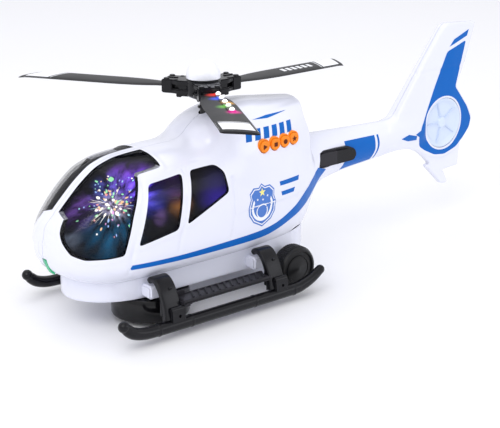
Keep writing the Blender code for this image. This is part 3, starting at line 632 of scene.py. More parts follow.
SPECK_LIGHTS = [
    glowing("speck_white", (1.0, 0.93, 0.84), 2.4),
    glowing("speck_amber", (1.0, 0.52, 0.10), 1.5),
    glowing("speck_red", (1.0, 0.12, 0.12), 1.4),
    glowing("speck_green", (0.16, 1.0, 0.34), 1.4),
    glowing("speck_blue", (0.14, 0.38, 1.0), 1.6),
    glowing("speck_cyan", (0.22, 0.80, 1.0), 1.4),
    glowing("speck_magenta", (0.95, 0.22, 0.85), 1.4),
]

# ---------------------------------------------------------------- shell, windows and cabin
WINDOW_CORNER, WINDSHIELD_CORNER = 2.5, 2.0
CABIN_SIDE = 14.0                # the doors and the side windows lie further out than this
FRAME_RISE, FRAME_SLOPE = 0.28, 0.9
WINDOW_FRAME, WINDSHIELD_FRAME = 3.4, 3.2         # how far the frames reach past the openings
DOOR_LINE_DEPTH, DOOR_LINE_WIDTH = 0.5, 0.8
HUMP_GROOVE_Z, HUMP_GROOVE_WIDTH, HUMP_GROOVE_DEPTH = 110.2, 1.1, 0.35
PANE = (0.06, 1.4)               # a pane's outer and inner faces, as depths under the body's surface
PAINTED_CABIN_DEPTHS = (3.1, 3.9)
MAST_HOLE, BUTTON_HOLE, FAN_GAP = 3.2, 3.95, 0.3
CUT_EDGE_FACING = 0.6            # a face that turns less than this towards the outside is a cut edge


def relief(points):
    """How far the window frames stand out from the body's surface, and the lines lie below it."""
    x, y, z = points.T
    rise = np.zeros(len(points))
    front = x < 0.0
    for outline in (DOOR_WINDOW, REAR_WINDOW):
        distance = polygon_distance(x[front], z[front], rounded(outline, WINDOW_CORNER))
        side = np.clip((np.abs(y[front]) - CABIN_SIDE) / 4.0, 0, 1)
        rise[front] += FRAME_RISE * side * np.clip((WINDOW_FRAME - distance) / FRAME_SLOPE, 0, 1)
    side_view = polygon_distance(x[front], z[front], rounded(WINDSHIELD, WINDSHIELD_CORNER))
    front_view = polygon_distance(np.abs(y[front]), z[front], WINDSHIELD_FRONT)
    distance = np.maximum(side_view, front_view)
    frame_rise = FRAME_RISE * np.clip((WINDSHIELD_FRAME - distance) / FRAME_SLOPE, 0, 1)
    rise[front] = np.maximum(rise[front], frame_rise)
    for line in DOOR_LINES:
        pressed = np.exp(-((line_distance(x, z, line) / DOOR_LINE_WIDTH) ** 2)) * (np.abs(y) > CABIN_SIDE)
        rise -= DOOR_LINE_DEPTH * pressed
    groove = np.exp(-(((z - HUMP_GROOVE_Z) / HUMP_GROOVE_WIDTH) ** 2)) * np.clip((x - 14.0) / 6.0, 0, 1)
    return rise - HUMP_GROOVE_DEPTH * groove


SKIN, SKIN_FACES = surface_net(body_field, (-117.0, -41.0, 22.0), (242.0, 42.0, 146.0), GRID)
SKIN_NORMALS = unit(gradient(SKIN))


def skin(inwards=0.0, moulded=False):
    """The body's closed surface, moved inwards, with its mouldings where asked."""
    rise = relief(SKIN) if moulded else 0.0
    return raw_mesh(SKIN + SKIN_NORMALS * (rise - np.full(len(SKIN), inwards))[:, None], SKIN_FACES)


def window_cutter(name, side):
    """The prism of a window's opening; the windshield's is what its side and front views have in common."""
    if name == "windshield":
        front_view = slab([(side * y, z) for y, z in WINDSHIELD_FRONT], -130.0, -40.0, "X")
        side_view = slab(rounded(WINDSHIELD, WINDSHIELD_CORNER), side * 2.0, side * 60.0)
        return combined(side_view, [front_view], "INTERSECT")
    outline = DOOR_WINDOW if name == "door_window" else REAR_WINDOW
    return as_mesh(slab(rounded(outline, WINDOW_CORNER), side * CABIN_SIDE, side * 60.0))


def shade_window_reveals(shell, look):
    """Gives the cut edges of the window openings a dark look, a painted shade, so that they don't show
    through the panes.
    """
    mesh = shell.data
    mesh.materials.append(look)
    centres, normals = np.empty(len(mesh.polygons) * 3), np.empty(len(mesh.polygons) * 3)
    mesh.polygons.foreach_get("center", centres)
    mesh.polygons.foreach_get("normal", normals)
    points = (centres.reshape(-1, 3) - DATUM) * 1000.0
    facing = np.abs((unit(gradient(points)) * normals.reshape(-1, 3)).sum(axis=1))
    x, y, z = points.T
    at_windows = (x < 2.0) & (np.abs(y) > 2.0) & (z > 44.0)
    dark = at_windows & (facing < CUT_EDGE_FACING)
    mesh.polygons.foreach_set("material_index", dark.astype(np.int32))


FLOOR_OPENING = ((-92.0, -13.5), (-80.0, -22.5), (-70.0, -25.8), (59.0, -25.8),
                 (59.0, 25.8), (-70.0, 25.8), (-80.0, 22.5), (-92.0, 13.5))
HOLLOW_PART = ((-125.0, -60.0, 0.0), (140.0, 60.0, 160.0))        # the boom's end is solid
PAINTED_CABIN_PART = ((-125.0, -60.0, 43.0), (2.0, 60.0, 97.0))           # the cabin behind the windows
FOREMOST, REARMOST, HIGHEST, WIDEST = -130.0, 260.0, 160.0, 80.0  # beyond the body on every side
inner_wall = combined(skin(WALL), [block(*HOLLOW_PART)], "INTERSECT")
hollow = combined(skin(moulded=True), [inner_wall])
pane_walls = combined(skin(PANE[0]), [skin(PANE[1])])
for side_name, side in SIDES:
    low, high = sorted((side * SEAM, side * WIDEST))
    half = combined(hollow.copy(), [block((FOREMOST, low, 0.0), (REARMOST, high, HIGHEST))], "INTERSECT")
    openings = [
        slab(FLOOR_OPENING, 20.0, 34.2, "Z"),
        turned([(MAST_HOLE, 90.0), (MAST_HOLE, 130.0)], 40),
        turned([(FAN_RADIUS + FAN_GAP, -8.0), (FAN_RADIUS + FAN_GAP, 8.0)], 96, FAN_MIDDLE, "Y"),
        block((-118.0, -2.7, 33.2), (-102.0, 2.7, 43.8)),
        slab(EXHAUST, side * 8.2, side * 60.0),
    ]
    if side < 0:
        for x, face_y in zip(BUTTON_X, BUTTON_FACE_Y):
            hole = [(BUTTON_HOLE, face_y - 6.0), (BUTTON_HOLE, face_y + 12.0)]
            openings.append(turned(hole, 40, (x, 0.0, BUTTON_Z), "Y"))
    windows = {name: window_cutter(name, side) for name in ("windshield", "door_window", "rear_window")}
    openings += [as_bmesh(windows[name].copy()) for name in windows]
    half = combined(half, [joined(openings)])
    shell = placed(f"body_shell_{side_name}", half, WHITE, "airframe", [f"shell_{side_name}"],
                   38)
    shade_window_reveals(shell, GLOSS_BLACK)
    for name, cutter in windows.items():
        pane = combined(pane_walls.copy(), [cutter], "INTERSECT")
        placed(f"{name}_pane_{side_name}", pane, SMOKE, "airframe", [f"{name}_{side_name}"],
               35)

# The dark sheet of painted shade just inside the cabin's windows, with the painted lamp light on it.
painted_cabin_sheet = combined(skin(PAINTED_CABIN_DEPTHS[0]), [skin(PAINTED_CABIN_DEPTHS[1])])
painted_cabin_sheet = combined(painted_cabin_sheet, [block(*PAINTED_CABIN_PART)], "INTERSECT")
placed("cabin_painted_light_and_shade", painted_cabin_sheet, PAINTED_CABIN_LIGHT_AND_SHADE, "airframe", sharp=60)


# ---------------------------------------------------------------- painted light specks behind the windows
SPECK_SOURCE = np.array([-68.0, -2.5, 67.5])
SPECK_AXIS = Vector((-0.518, -0.802, 0.296)).normalized()
SPECK_DEPTH = 2.5
SPECK_KINDS = ("line",) * 20 + ("near",) * 46 + ("far",) * 62
BIG_SPECKS = [
    (math.radians(92.0), math.radians(29.0), math.radians(38.0), 3.4, 3),
    (math.radians(93.0), math.radians(31.0), math.radians(35.0), 1.9, 0),
    (math.radians(150.0), math.radians(16.0), math.radians(22.0), 1.8, 0),
    (math.radians(-60.0), math.radians(8.0), math.radians(14.0), 2.2, 0),
]
DASH_SHAPE = (0.06, 0.8, 1.0, 0.7, 0.06)     # how wide a dash is along its length


def on_skin(origin, directions):
    """Where rays from inside the body meet its surface."""
    def at(reach):
        return origin + directions * reach[:, None]

    return at(furthest_inside(at, len(directions), 90.0, 20))


def speck_rows():
    """The dashes of the star: turn round its axis, start and end angle from it, width and colour."""
    draw = random.Random(11)
    rows = []
    for kind in SPECK_KINDS:
        turn = draw.uniform(0, 2 * math.pi)
        if kind == "line":
            start, length, width = draw.uniform(4.0, 18.0), draw.uniform(7.0, 16.0), draw.uniform(0.14, 0.26)
            colour = draw.choice((0, 0, 4, 5))
        elif kind == "near":
            start, length, width = 2.0 + 14.0 * draw.random(), draw.uniform(2.0, 5.5), draw.uniform(0.8, 1.7)
            colour = draw.choices(range(len(SPECK_LIGHTS)), (20, 34, 8, 20, 4, 10, 4))[0]
        else:
            start, length, width = draw.uniform(13.0, 40.0), draw.uniform(1.4, 4.0), draw.uniform(0.5, 1.2)
            colour = draw.choices(range(len(SPECK_LIGHTS)), (14, 14, 6, 24, 20, 20, 10))[0]
        rows.append((turn, math.radians(start), math.radians(start + length), width, colour))
    return rows + BIG_SPECKS


def light_specks():
    """A star of painted light: dashes and dots in the lamp's colours, spreading over the inside of the near
    windows.
    """
    across = Vector((0.0, 0.0, 1.0)).cross(SPECK_AXIS).normalized()
    up = SPECK_AXIS.cross(across)
    rows = speck_rows()
    directions = []
    for turn, start, end, _, _ in rows:
        outwards = across * math.cos(turn) + up * math.sin(turn)
        for angle in np.linspace(start, end, len(DASH_SHAPE)):
            directions.append(SPECK_AXIS * math.cos(angle) + outwards * math.sin(angle))
    surface = on_skin(SPECK_SOURCE, np.array(directions))
    lines = (surface - unit(gradient(surface)) * SPECK_DEPTH).reshape(len(rows), len(DASH_SHAPE), 3)
    normals = unit(gradient(lines.reshape(-1, 3))).reshape(lines.shape)
    sideways = np.cross(normals, unit(np.gradient(lines, axis=1)))
    dashes = [[] for _ in SPECK_LIGHTS]
    for (_, _, _, width, colour), line, normal, side in zip(rows, lines, normals, sideways):
        rings = []
        for point, out, edge, share in zip(line, normal * 0.07, side * width / 2, DASH_SHAPE):
            corners = (point - edge * share, point + out, point + edge * share, point - out)
            rings.append([tuple(corner) for corner in corners])
        dashes[colour].append(loft(rings))
    for look, parts in zip(SPECK_LIGHTS, dashes):
        placed(f"light_{look.name}", joined(parts), look, "airframe", sharp=80)


light_specks()


# ---------------------------------------------------------------- paint
def side_surface(points, side):
    """The body's surface at side-view points (x, z), on one side."""
    def at(reach):
        return np.stack([points[:, 0], side * reach, points[:, 1]], 1)

    return at(furthest_inside(at, len(points), 45.0, 24))


FILM = 0.12                      # how thick a printed film is
BLUE_LIFT, SPIKE_LIFT, SHIELD_LIFT, BADGE_LIFT = 0.10, 0.12, 0.08, 0.12
BADGE_CELL = 3.0


def paint(name, outlines, side, look, lift, cell=1.6):
    """A thin printed film over the body: side-view outlines, later ones inside an earlier one being holes."""
    flat = bmesh.new()
    for outline in outlines:
        verts = [flat.verts.new((x, 0.0, z)) for x, z in outline]
        for a, b in zip(verts, verts[1:] + verts[:1]):
            flat.edges.new((a, b))
    bmesh.ops.triangle_fill(flat, use_beauty=True, edges=flat.edges[:], normal=(0, -1, 0))
    spans = [(min(v.co[axis] for v in flat.verts), max(v.co[axis] for v in flat.verts)) for axis in (0, 2)]
    for axis, (low, high) in zip((0, 2), spans):
        normal = Vector((axis == 0, 0, axis == 2))
        for step in range(1, int((high - low) / cell)):
            bmesh.ops.bisect_plane(flat, geom=flat.verts[:] + flat.edges[:] + flat.faces[:], dist=1e-5,
                                   plane_co=normal * (low + step * cell), plane_no=normal)
    points = side_surface(np.array([(v.co.x, v.co.z) for v in flat.verts]), side)
    slope = unit(gradient(points))
    raised = points + slope * (relief(points) + lift)[:, None]
    bmesh.ops.recalc_face_normals(flat, faces=flat.faces)
    for vertex, point in zip(flat.verts, raised):
        vertex.co = point
    under = {vertex: flat.verts.new(point - out * FILM)
             for vertex, point, out in zip(flat.verts[:], raised, slope)}
    rim = [edge for edge in flat.edges if edge.is_boundary]
    faces = flat.faces[:]
    for edge in rim:
        face = edge.link_faces[0]
        loop = next(loop for loop in face.loops if loop.edge == edge)
        a, b = loop.vert, loop.link_loop_next.vert
        flat.faces.new((b, a, under[a], under[b]))
    for face in faces:
        flat.faces.new([under[v] for v in reversed(face.verts)])
    bmesh.ops.recalc_face_normals(flat, faces=flat.faces)
    return placed(name, flat, look, "airframe", sharp=30)


STRIPE_TOP = (
    (-76.7, 41.3), (-41.8, 40.8), (-13.5, 41.5), (5.0, 42.0), (19.0, 42.9), (30.5, 45.3), (43.5, 50.0),
    (56.7, 56.0), (68.0, 61.5), (76.4, 66.0),
)
STRIPE_BOTTOM = (
    (86.2, 62.6), (73.0, 54.0), (57.0, 47.6), (40.4, 43.0), (27.2, 39.4), (15.0, 37.6), (-12.7, 37.3),
    (-41.3, 37.5), (-78.3, 38.6),
)
BOOM_BLOCK = ((105.6, 76.7), (133.9, 76.0), (134.3, 66.5), (132.2, 59.4), (103.2, 57.8), (105.4, 62.9),
              (109.0, 65.5), (111.0, 68.0), (109.0, 71.0), (105.6, 73.0))
BOOM_ARC_FRONT = ((135.9, 75.9), (136.4, 68.0), (134.6, 60.0))
BOOM_ARC_REAR = ((135.4, 59.8), (138.0, 68.0), (137.6, 75.9))
TAIL_BAND = ((228.6, 134.9), (226.9, 130.6), (209.0, 125.0), (213.2, 129.6))
TAIL_FIELD = (
    (226.0, 127.6), (216.9, 96.1), (222.0, 90.5), (231.0, 80.0), (236.0, 71.0), (234.4, 64.6), (228.0, 58.2),
    (219.9, 52.6), (208.0, 49.4), (198.0, 50.6), (188.3, 55.2), (182.5, 58.8), (180.2, 66.0), (182.0, 73.0),
    (187.8, 80.5), (191.0, 88.0), (195.0, 97.5), (206.8, 121.8),
)
TAIL_TONGUE = ((160.6, 68.5), (168.4, 70.2), (177.5, 67.6), (177.5, 64.8), (168.0, 65.6))
TAIL_SPIKE = ((176.0, 68.8), (186.0, 72.5), (183.0, 64.8))
SHORT_BARS = (
    ((30.0, 69.6), (48.9, 69.5), (48.0, 66.7), (30.5, 67.0)),
    ((31.1, 63.3), (44.2, 63.2), (42.7, 60.6), (31.8, 60.7)),
)
SWOOSH = ((18.5, 107.0), (30.0, 107.9), (49.0, 107.4), (30.0, 106.3))
SHIELD = (
    (14.8, 71.6), (17.4, 69.6), (21.6, 69.8), (25.0, 66.6), (24.6, 63.0), (26.4, 58.4), (26.0, 53.0),
    (22.6, 48.4), (15.2, 44.9), (8.2, 48.6), (4.8, 53.4), (4.2, 58.6), (6.0, 63.4), (5.2, 66.8),
    (8.4, 69.8), (12.4, 69.4),
)
SHIELD_CENTRE = (15.2, 58.4)


def scaled(outline, centre, share):
    cx, cz = centre
    return [(cx + (x - cx) * share, cz + (z - cz) * share) for x, z in outline]


def star(centre, radius):
    """A five-pointed star."""
    points = []
    for i in range(10):
        reach = radius if i % 2 == 0 else radius * 0.42
        angle = math.pi / 2 + math.pi * i / 5
        points.append((centre[0] + reach * math.cos(angle), centre[1] + reach * math.sin(angle)))
    return points


BOWL_ANGLES = (np.linspace(-2.2, 2.2, 24), np.linspace(2.05, -2.05, 24))
BOWL = [(15.2 + 8.4 * math.sin(a), 57.4 - 8.8 * math.cos(a)) for a in BOWL_ANGLES[0]]
BOWL += [(15.2 + 6.9 * math.sin(a), 57.6 - 7.2 * math.cos(a)) for a in BOWL_ANGLES[1]]
BLUE_DECALS = {
    "side_stripe": [curve(STRIPE_TOP, 4) + curve(STRIPE_BOTTOM, 4)],
    "boom_block": [BOOM_BLOCK],
    "boom_arc": [curve(BOOM_ARC_FRONT, 4) + curve(BOOM_ARC_REAR, 4)],
    "tail_band": [TAIL_BAND],
    "tail_field": [rounded(TAIL_FIELD, 2.0), circle(FAN_RADIUS + 1.6, 64, FAN_CENTRE)],
    "tail_tongue": [TAIL_TONGUE],
    "tail_spike": [TAIL_SPIKE],
    "short_bar_1": [SHORT_BARS[0]],
    "short_bar_2": [SHORT_BARS[1]],
    "hump_flash": [SWOOSH],
}
BLUE_DECALS |= {f"hump_bar_{i + 1}": [oblong((11.4 + 6.9 * i, 99.2), (4.4, 6.2), 2.0)] for i in range(6)}
BADGE_DECALS = {
    "shield_edge": ([scaled(SHIELD, SHIELD_CENTRE, share) for share in (0.93, 0.88)], PRINT_WHITE),
    "shield_bowl": ([BOWL], PRINT_WHITE),
    "shield_ring": ([circle(radius, 40, (15.2, 54.6)) for radius in (4.6, 3.9)], PRINT_WHITE),
    "shield_star": ([star((15.0, 66.2), 2.7)], YELLOW),
}
for number, place in enumerate(((11.2, 62.4), (15.4, 61.8), (19.2, 63.6)), 1):
    BADGE_DECALS[f"shield_dot_{number}"] = ([star(place, 0.9)], PRINT_WHITE)

for side_name, side in SIDES:
    for name, outlines in BLUE_DECALS.items():
        paint(f"{name}_{side_name}", outlines, side, BLUE, SPIKE_LIFT if name == "tail_spike" else BLUE_LIFT)
    paint(f"shield_{side_name}", [SHIELD], side, SHADE_BLUE, SHIELD_LIFT)
    for name, (outlines, look) in BADGE_DECALS.items():
        paint(f"{name}_{side_name}", outlines, side, look, BADGE_LIFT, BADGE_CELL)

# ---------------------------------------------------------------- nose light, exhausts and tail fan
NOSE_LENS = ((-112.0, 43.4), (-110.9, 39.6), (-109.6, 36.4), (-107.9, 33.6), (-105.9, 33.6), (-107.6, 36.8),
             (-108.8, 39.9), (-109.8, 43.4))
lens = slab(curve(NOSE_LENS[:4], 3) + list(NOSE_LENS[4:]), -2.4, 2.4, bevel=0.7, segments=3)
placed("nose_lens", lens, TEAL, "airframe", ["nose_light"], 50)

EXHAUST_SPLIT = 95.5               # ahead of it the insert is a little lighter
for side_name, side in SIDES:
    low, high = sorted((side * 8.5, side * 14.5))
    halves = []
    for first, last in ((70.0, EXHAUST_SPLIT), (EXHAUST_SPLIT, 120.0)):
        whole = slab(rounded(EXHAUST, 2.0), low, high, bevel=1.6, segments=4)
        halves.append(combined(whole, [block((first, -20.0, 50.0), (last, 20.0, 90.0))], "INTERSECT"))
    placed(f"exhaust_front_{side_name}", halves[0], SLATE, "airframe", [f"exhaust_{side_name}"],
           35)
    placed(f"exhaust_rear_{side_name}", halves[1], BLACK, "airframe", sharp=35)

fan_profile = [(17.3, -2.9), (16.6, -3.1), (15.9, -2.9), (14.6, -1.5), (13.0, -1.1), (5.2, -0.9), (4.2, -1.3),
               (3.6, -2.6), (2.8, -3.0), (0.0, -3.1)]
fan_disc = turned(fan_profile[::-1] + [(r, -h) for r, h in fan_profile], 96, FAN_MIDDLE, "Y")
vanes = []
for i in range(5):
    vane = block((2.0, -2.2, -0.35), (15.6, 2.2, 0.35), 0.3)
    turn = Matrix.Translation(FAN_MIDDLE) @ Matrix.Rotation(math.radians(35 + 72 * i), 4, "Y")
    vanes.append(moved(vane, turn))
fan = combined(fan_disc, vanes, "UNION")
placed("tail_fan", fan, FAN_BLUE, "airframe", ["fenestron"], 35)

# ---------------------------------------------------------------- chassis
REAR_AXLE = (39.0, 14.0)
SKIRT = ((1.4, 17.0), (0.5, 17.4), (0.1, 18.2), (0.0, 19.4), (0.0, 35.0))
BAY = ((1.6, 8.0), (0.5, 8.5), (0.0, 9.6), (0.0, 20.0))
PIVOT_HOLE, AXLE_HOLE, SCREW_HOLE, DOOR_SCREW_HEAD, DOOR_SCREW_HOLE = 6.2, 1.9, 2.6, 3.1, 1.6
DOOR_SCREW_X = 6.2


def chassis_plan(shrink):
    half, nose = 29.0 - shrink, 39.0 - shrink
    turns = [math.radians(degrees) for degrees in range(-90, 91, 5)]
    arc = [(-60.0 - nose * math.cos(a), half * math.sin(a)) for a in turns]
    rear = [(28.0, half), (48.0, half - 4.0), (61.0, half - 10.0), (66.0 - shrink, half - 15.0)]
    return arc + rear + [(x, -y) for x, y in reversed(rear)]


def bay_plan(shrink):
    half = 25.0 - shrink
    side = [(33.4 + shrink, half), (48.0, half - 1.0), (60.0, half - 8.0), (65.0 - shrink, half - 12.0)]
    return side + [(x, -y) for x, y in reversed(side)]


def plan_loft(plan, levels):
    """A solid whose plan outline is moved inwards level by level: levels are (shrink, z)."""
    return loft([[(x, y, z) for x, y in plan(shrink)] for shrink, z in levels])


sockets = []
for side in (-1.0, 1.0):
    for x in LEG_X:
        low, high = sorted((side * 27.6, side * 37.4))
        sockets.append(block((x - 6.2, low, 18.8), (x + 5.2, high, 26.6), 1.2, 3))
pan = combined(plan_loft(chassis_plan, SKIRT), [plan_loft(bay_plan, BAY)] + sockets, "UNION")
pan = combined(pan, [skin(-0.04)])
pan = combined(pan, [
    plan_loft(chassis_plan, [(WALL, 19.0), (WALL, 31.0)]),
    plan_loft(bay_plan, [(WALL, 10.0), (WALL, 22.0)]),
    turned([(PIVOT_HOLE, 5.0), (PIVOT_HOLE, 40.0)], 48, (TURRET_X, 0.0, 0.0)),
    turned([(AXLE_HOLE, -50.0), (AXLE_HOLE, 50.0)], 32, (REAR_AXLE[0], 0.0, REAR_AXLE[1]), "Y"),
    block((-7.4, -25.0, 12.0), (32.4, 25.0, 22.0)),
    block((60.0, -2.2, 11.9), (70.0, 6.2, 15.1)),
    *[turned([(SCREW_HOLE, 16.0), (SCREW_HOLE, 18.2)], 24, (-92.0, y, 0.0)) for y in (-6.0, 6.0)],
])
placed("chassis_floor_pan", pan, WHITE, "airframe", ["chassis_pan"], 35)

door_parts = [block((-7.1, -24.7, 17.2), (32.1, 24.7, 18.8), 0.4)]
for i in range(5):
    door_parts.append(block((24.0 + 1.6 * i, -8.0, 16.7), (24.7 + 1.6 * i, 8.0, 17.6), 0.2))
door = combined(door_parts[0], door_parts[1:], "UNION")
door = combined(door, [
    turned([(DOOR_SCREW_HEAD, 15.0), (DOOR_SCREW_HEAD, 17.6)], 32, (DOOR_SCREW_X, 0.0, 0.0)),
    turned([(DOOR_SCREW_HOLE, 10.0), (DOOR_SCREW_HOLE, 22.0)], 24, (DOOR_SCREW_X, 0.0, 0.0)),
])
placed("battery_cover", door, WHITE_MATTE, "airframe", ["battery_door"], 35)

# ---------------------------------------------------------------- skids
LEG_PATH = (
    (-33.6, 28.4), (-35.2, 30.4), (-37.8, 31.0), (-41.0, 29.8), (-44.2, 26.4), (-47.0, 21.2), (-49.2, 15.2),
    (-50.5, 10.6),
)
SHOE = ((-54.4, 7.6), (-53.4, 16.6), (-52.2, 17.8), (-49.0, 17.4), (-48.2, 9.4), (-48.6, 7.6))
RUNNER_COLLAR = [(3.5, -0.8), (3.75, -0.5), (3.75, 0.5), (3.5, 0.8), (3.0, 0.8), (3.0, -0.8)]
RUNNER_PATH = (
    (-94.6, 14.6), (-92.4, 12.1), (-88.6, 9.4), (-82.0, 7.5), (-72.0, 7.0), (-46.0, 7.0), (-20.0, 7.0),
    (24.0, 7.0), (34.0, 8.2), (42.0, 11.0), (48.0, 14.6),
)
RUNNER_RADII = (2.9, 3.4, 3.5, 3.5, 3.5, 3.5, 3.5, 3.5, 3.4, 3.1, 2.8)


def strap(path, centre_x, widths, thicknesses):
    """A curved flat strap along a path of (y, z), with rounded edges; width and thickness change along it."""
    rings = []
    for i, point in enumerate(path):
        before, after = Vector(path[max(i - 1, 0)]), Vector(path[min(i + 1, len(path) - 1)])
        along = (after - before).normalized()
        normal = Vector((along.y, -along.x))
        half, thick = widths[i] / 2, thicknesses[i] / 2
        section = [(-half, -thick), (half, -thick), (half, thick), (-half, thick)]
        corners = rounded(section, min(1.0, thick * 0.8), 3)
        rings.append([(centre_x + a, point[0] + normal.x * b, point[1] + normal.y * b) for a, b in corners])
    return loft(rings)


def screw(centre, radius, axis):
    """A small round screw head with a recessed cross, facing down its axis."""
    depth = 0.7
    head = turned([(0.0, 0.0), (radius, 0.0), (radius, -depth * 0.6), (radius * 0.8, -depth), (0.0, -depth)],
                  24, centre, axis)
    to_axis = {"Z": Matrix.Identity(4), "Y": Matrix.Rotation(math.pi / 2, 4, "X")}[axis]
    top = Matrix.Translation(axial((0.0, 0.0), -depth * 1.5, centre, axis)) @ to_axis
    arms = []
    for turn in (20.0, 110.0):
        arm = block((-radius * 0.6, -radius * 0.14, -depth), (radius * 0.6, radius * 0.14, depth))
        arms.append(moved(arm, top @ Matrix.Rotation(math.radians(turn), 4, "Z")))
    return as_bmesh(combined(head, arms))


def one_side(source, side):
    return mirrored(source) if side > 0 else source


STEP_RIBS = 12
RUNNER_Z = 7.0                   # of the runners' straight stretch
COLLAR_X = (-72.4, -50.0, -4.0, 26.0)
leg_line = curve(LEG_PATH, 4)
leg_share = np.linspace(0.0, 1.0, len(leg_line))
leg_widths = np.interp(leg_share, (0.0, 0.04, 0.5, 0.8, 1.0), (9.6, 10.8, 11.0, 11.0, 13.0))
leg_thicknesses = np.interp(leg_share, (0.0, 0.05, 0.6, 1.0), (2.6, 3.3, 3.4, 4.4))
runner_line = curve([(x, -SKID_Y, z) for x, z in RUNNER_PATH], 5)
runner_share = np.linspace(0, 1, len(runner_line))
runner_radii = np.interp(runner_share, np.linspace(0, 1, len(RUNNER_RADII)), RUNNER_RADII)
for side_name, side in SIDES:
    runner = [tube(runner_line, runner_radii, 28)]
    runner.append(turned(arc_profile((0.0, 0.0), 3.3, -90, 90, 12), 28, (-94.9, -SKID_Y, 14.7)))
    for x in COLLAR_X:
        runner.append(turned(RUNNER_COLLAR, 28, (x, -SKID_Y, RUNNER_Z), "X", looped=True))
    runner.append(turned(arc_profile((0.0, 0.0), 2.85, -90, 90, 10), 24, (48.0, -SKID_Y, 14.6)))
    placed(f"skid_runner_{side_name}", one_side(joined(runner), side), BLACK, "airframe",
           [f"runner_{side_name}"], 45)
    for place, x in zip(("front", "rear"), LEG_X):
        shoe = slab(rounded(SHOE, 0.8, 3), x - 3.2, x + 6.6, "X", 0.6)
        foot = combined(shoe, [turned([(0.9, -56.0), (0.9, -52.6)], 20, (x + 2.4, 0.0, 12.4), "Y")])
        placed(f"skid_foot_{place}_{side_name}", one_side(as_bmesh(foot), side), BLACK, "airframe",
               sharp=40)
        leg = [strap(leg_line, x, leg_widths, leg_thicknesses)]
        for rib_x in (x - 4.9, x + 4.9):
            leg.append(block((rib_x - 0.5, -47.6, 12.0), (rib_x + 0.5, -45.2, 21.0), 0.3))
        placed(f"skid_leg_{place}_{side_name}", one_side(joined(leg), side), BLACK, "airframe",
               [f"leg_{place}_{side_name}"], 45)
        pin = screw((x + 1.2, -46.1, 26.9), 0.9, "Y")
        placed(f"skid_pin_{place}_{side_name}", one_side(pin, side), GLOSS_BLACK, "airframe")
    x0, x1 = LEG_X[0] + 5.8, LEG_X[1] - 5.8
    step = [
        block((x0, -53.0, 17.4), (x1, -42.4, 19.8), 0.8, 3),
        block((x0, -53.0, 18.2), (x1, -51.9, 20.4), 0.3),
        block((x0, -43.5, 18.2), (x1, -42.4, 20.4), 0.3),
        block((x0 - 0.4, -53.4, 15.8), (x0 + 7.0, -45.0, 20.0), 1.7, 4),
        block((x0 + 1.0, -43.8, 19.4), (x0 + 7.5, -42.2, 22.6), 0.5),
    ]
    for i in range(STEP_RIBS):
        x = x0 + 10.0 + (x1 - x0 - 12.5) * i / (STEP_RIBS - 1)
        rib_place = Matrix.Translation((x, -47.7, 19.6)) @ Matrix.Rotation(math.radians(-28), 4, "Z")
        step.append(moved(block((-0.6, -4.6, 0.0), (0.6, 4.6, 1.15), 0.3), rib_place))
    placed(f"skid_step_{side_name}", one_side(joined(step), side), SLATE, "airframe", [f"step_{side_name}"],
           40)

# ---------------------------------------------------------------- wheels
def ribbed_wheel(name, centre, profile, rib_span, count, radius, body, node, place=Matrix.Identity(4)):
    """A wheel turned about Y, with a row of short tread ribs round it."""
    parts = [turned(profile, 96, centre, "Y", looped=True)]
    low, high = sorted(rib_span)
    for i in range(count):
        rib = block((-0.5, low, radius - 0.8), (0.5, high, radius - 0.02), 0.15, 1)
        turn = Matrix.Translation(centre) @ Matrix.Rotation(2 * math.pi * i / count, 4, "Y")
        parts.append(moved(rib, turn))
    placed(name, moved(joined(parts), place), TYRE, body, [node], 35)


REAR_WHEEL_SPAN, REAR_WHEEL_RADIUS, REAR_WHEEL_RIBS = (31.6, 43.0), 14.0, 56
DRIVE_WHEEL_RADIUS, DRIVE_WHEEL_RIBS = 7.0, 32
AXLE_CAP = [(0.0, 42.5), (1.4, 42.4), (2.0, 42.0), (7.0, 41.95), (7.4, 41.8), (7.4, 41.2), (0.0, 41.2)]
axle = (REAR_AXLE[0], 0.0, REAR_AXLE[1])
for side_name, side in SIDES:
    inner, outer = REAR_WHEEL_SPAN
    profile = [
        (1.8, inner), (11.2, inner), (12.8, inner + 0.5), (13.6, inner + 1.6), (13.6, outer - 2.6),
        (13.2, outer - 1.2), (12.3, outer - 0.4), (11.3, outer - 0.3), (11.0, outer - 0.8),
        (10.8, outer - 1.5), (8.6, outer - 1.5), (8.4, outer - 0.9), (7.9, outer - 0.9),
        (7.7, outer - 1.3), (1.8, outer - 1.3),
    ]
    profile = [(radius, side * y) for radius, y in profile]
    rib_span = (side * (inner + 1.8), side * (outer - 2.6))
    ribbed_wheel(f"ribbed_rear_wheel_{side_name}", axle, profile, rib_span, REAR_WHEEL_RIBS,
                 REAR_WHEEL_RADIUS, "rear_wheels", f"rear_wheel_{side_name}")
    cap = moved(turned(AXLE_CAP, 64, axle, "Y"), Matrix.Scale(-1, 4, (0, 1, 0)))
    placed(f"axle_cap_{side_name}", one_side(cap, side), TYRE, "rear_wheels")

# ---------------------------------------------------------------- drive turret
# The turret trails behind its pivot. Its pieces are made with the cup on the z axis, then turned and moved.
PIVOT = Vector((TURRET_X, 0.0, 0.0))
DRIVE = JOINTS["drive_wheels_roll"]
CUP_CENTRE = (Vector(DRIVE["pos_m"]) - Vector(DATUM)) * 1000.0
CUP_CENTRE.z = 0.0
CUP_TURN = math.atan2(DRIVE["axis"][1], DRIVE["axis"][0]) - math.pi / 2
CUP_PLACE = Matrix.Translation(CUP_CENTRE) @ Matrix.Rotation(CUP_TURN, 4, "Z")
CUP_RADIUS, CUP_WALL = 23.0, 1.4

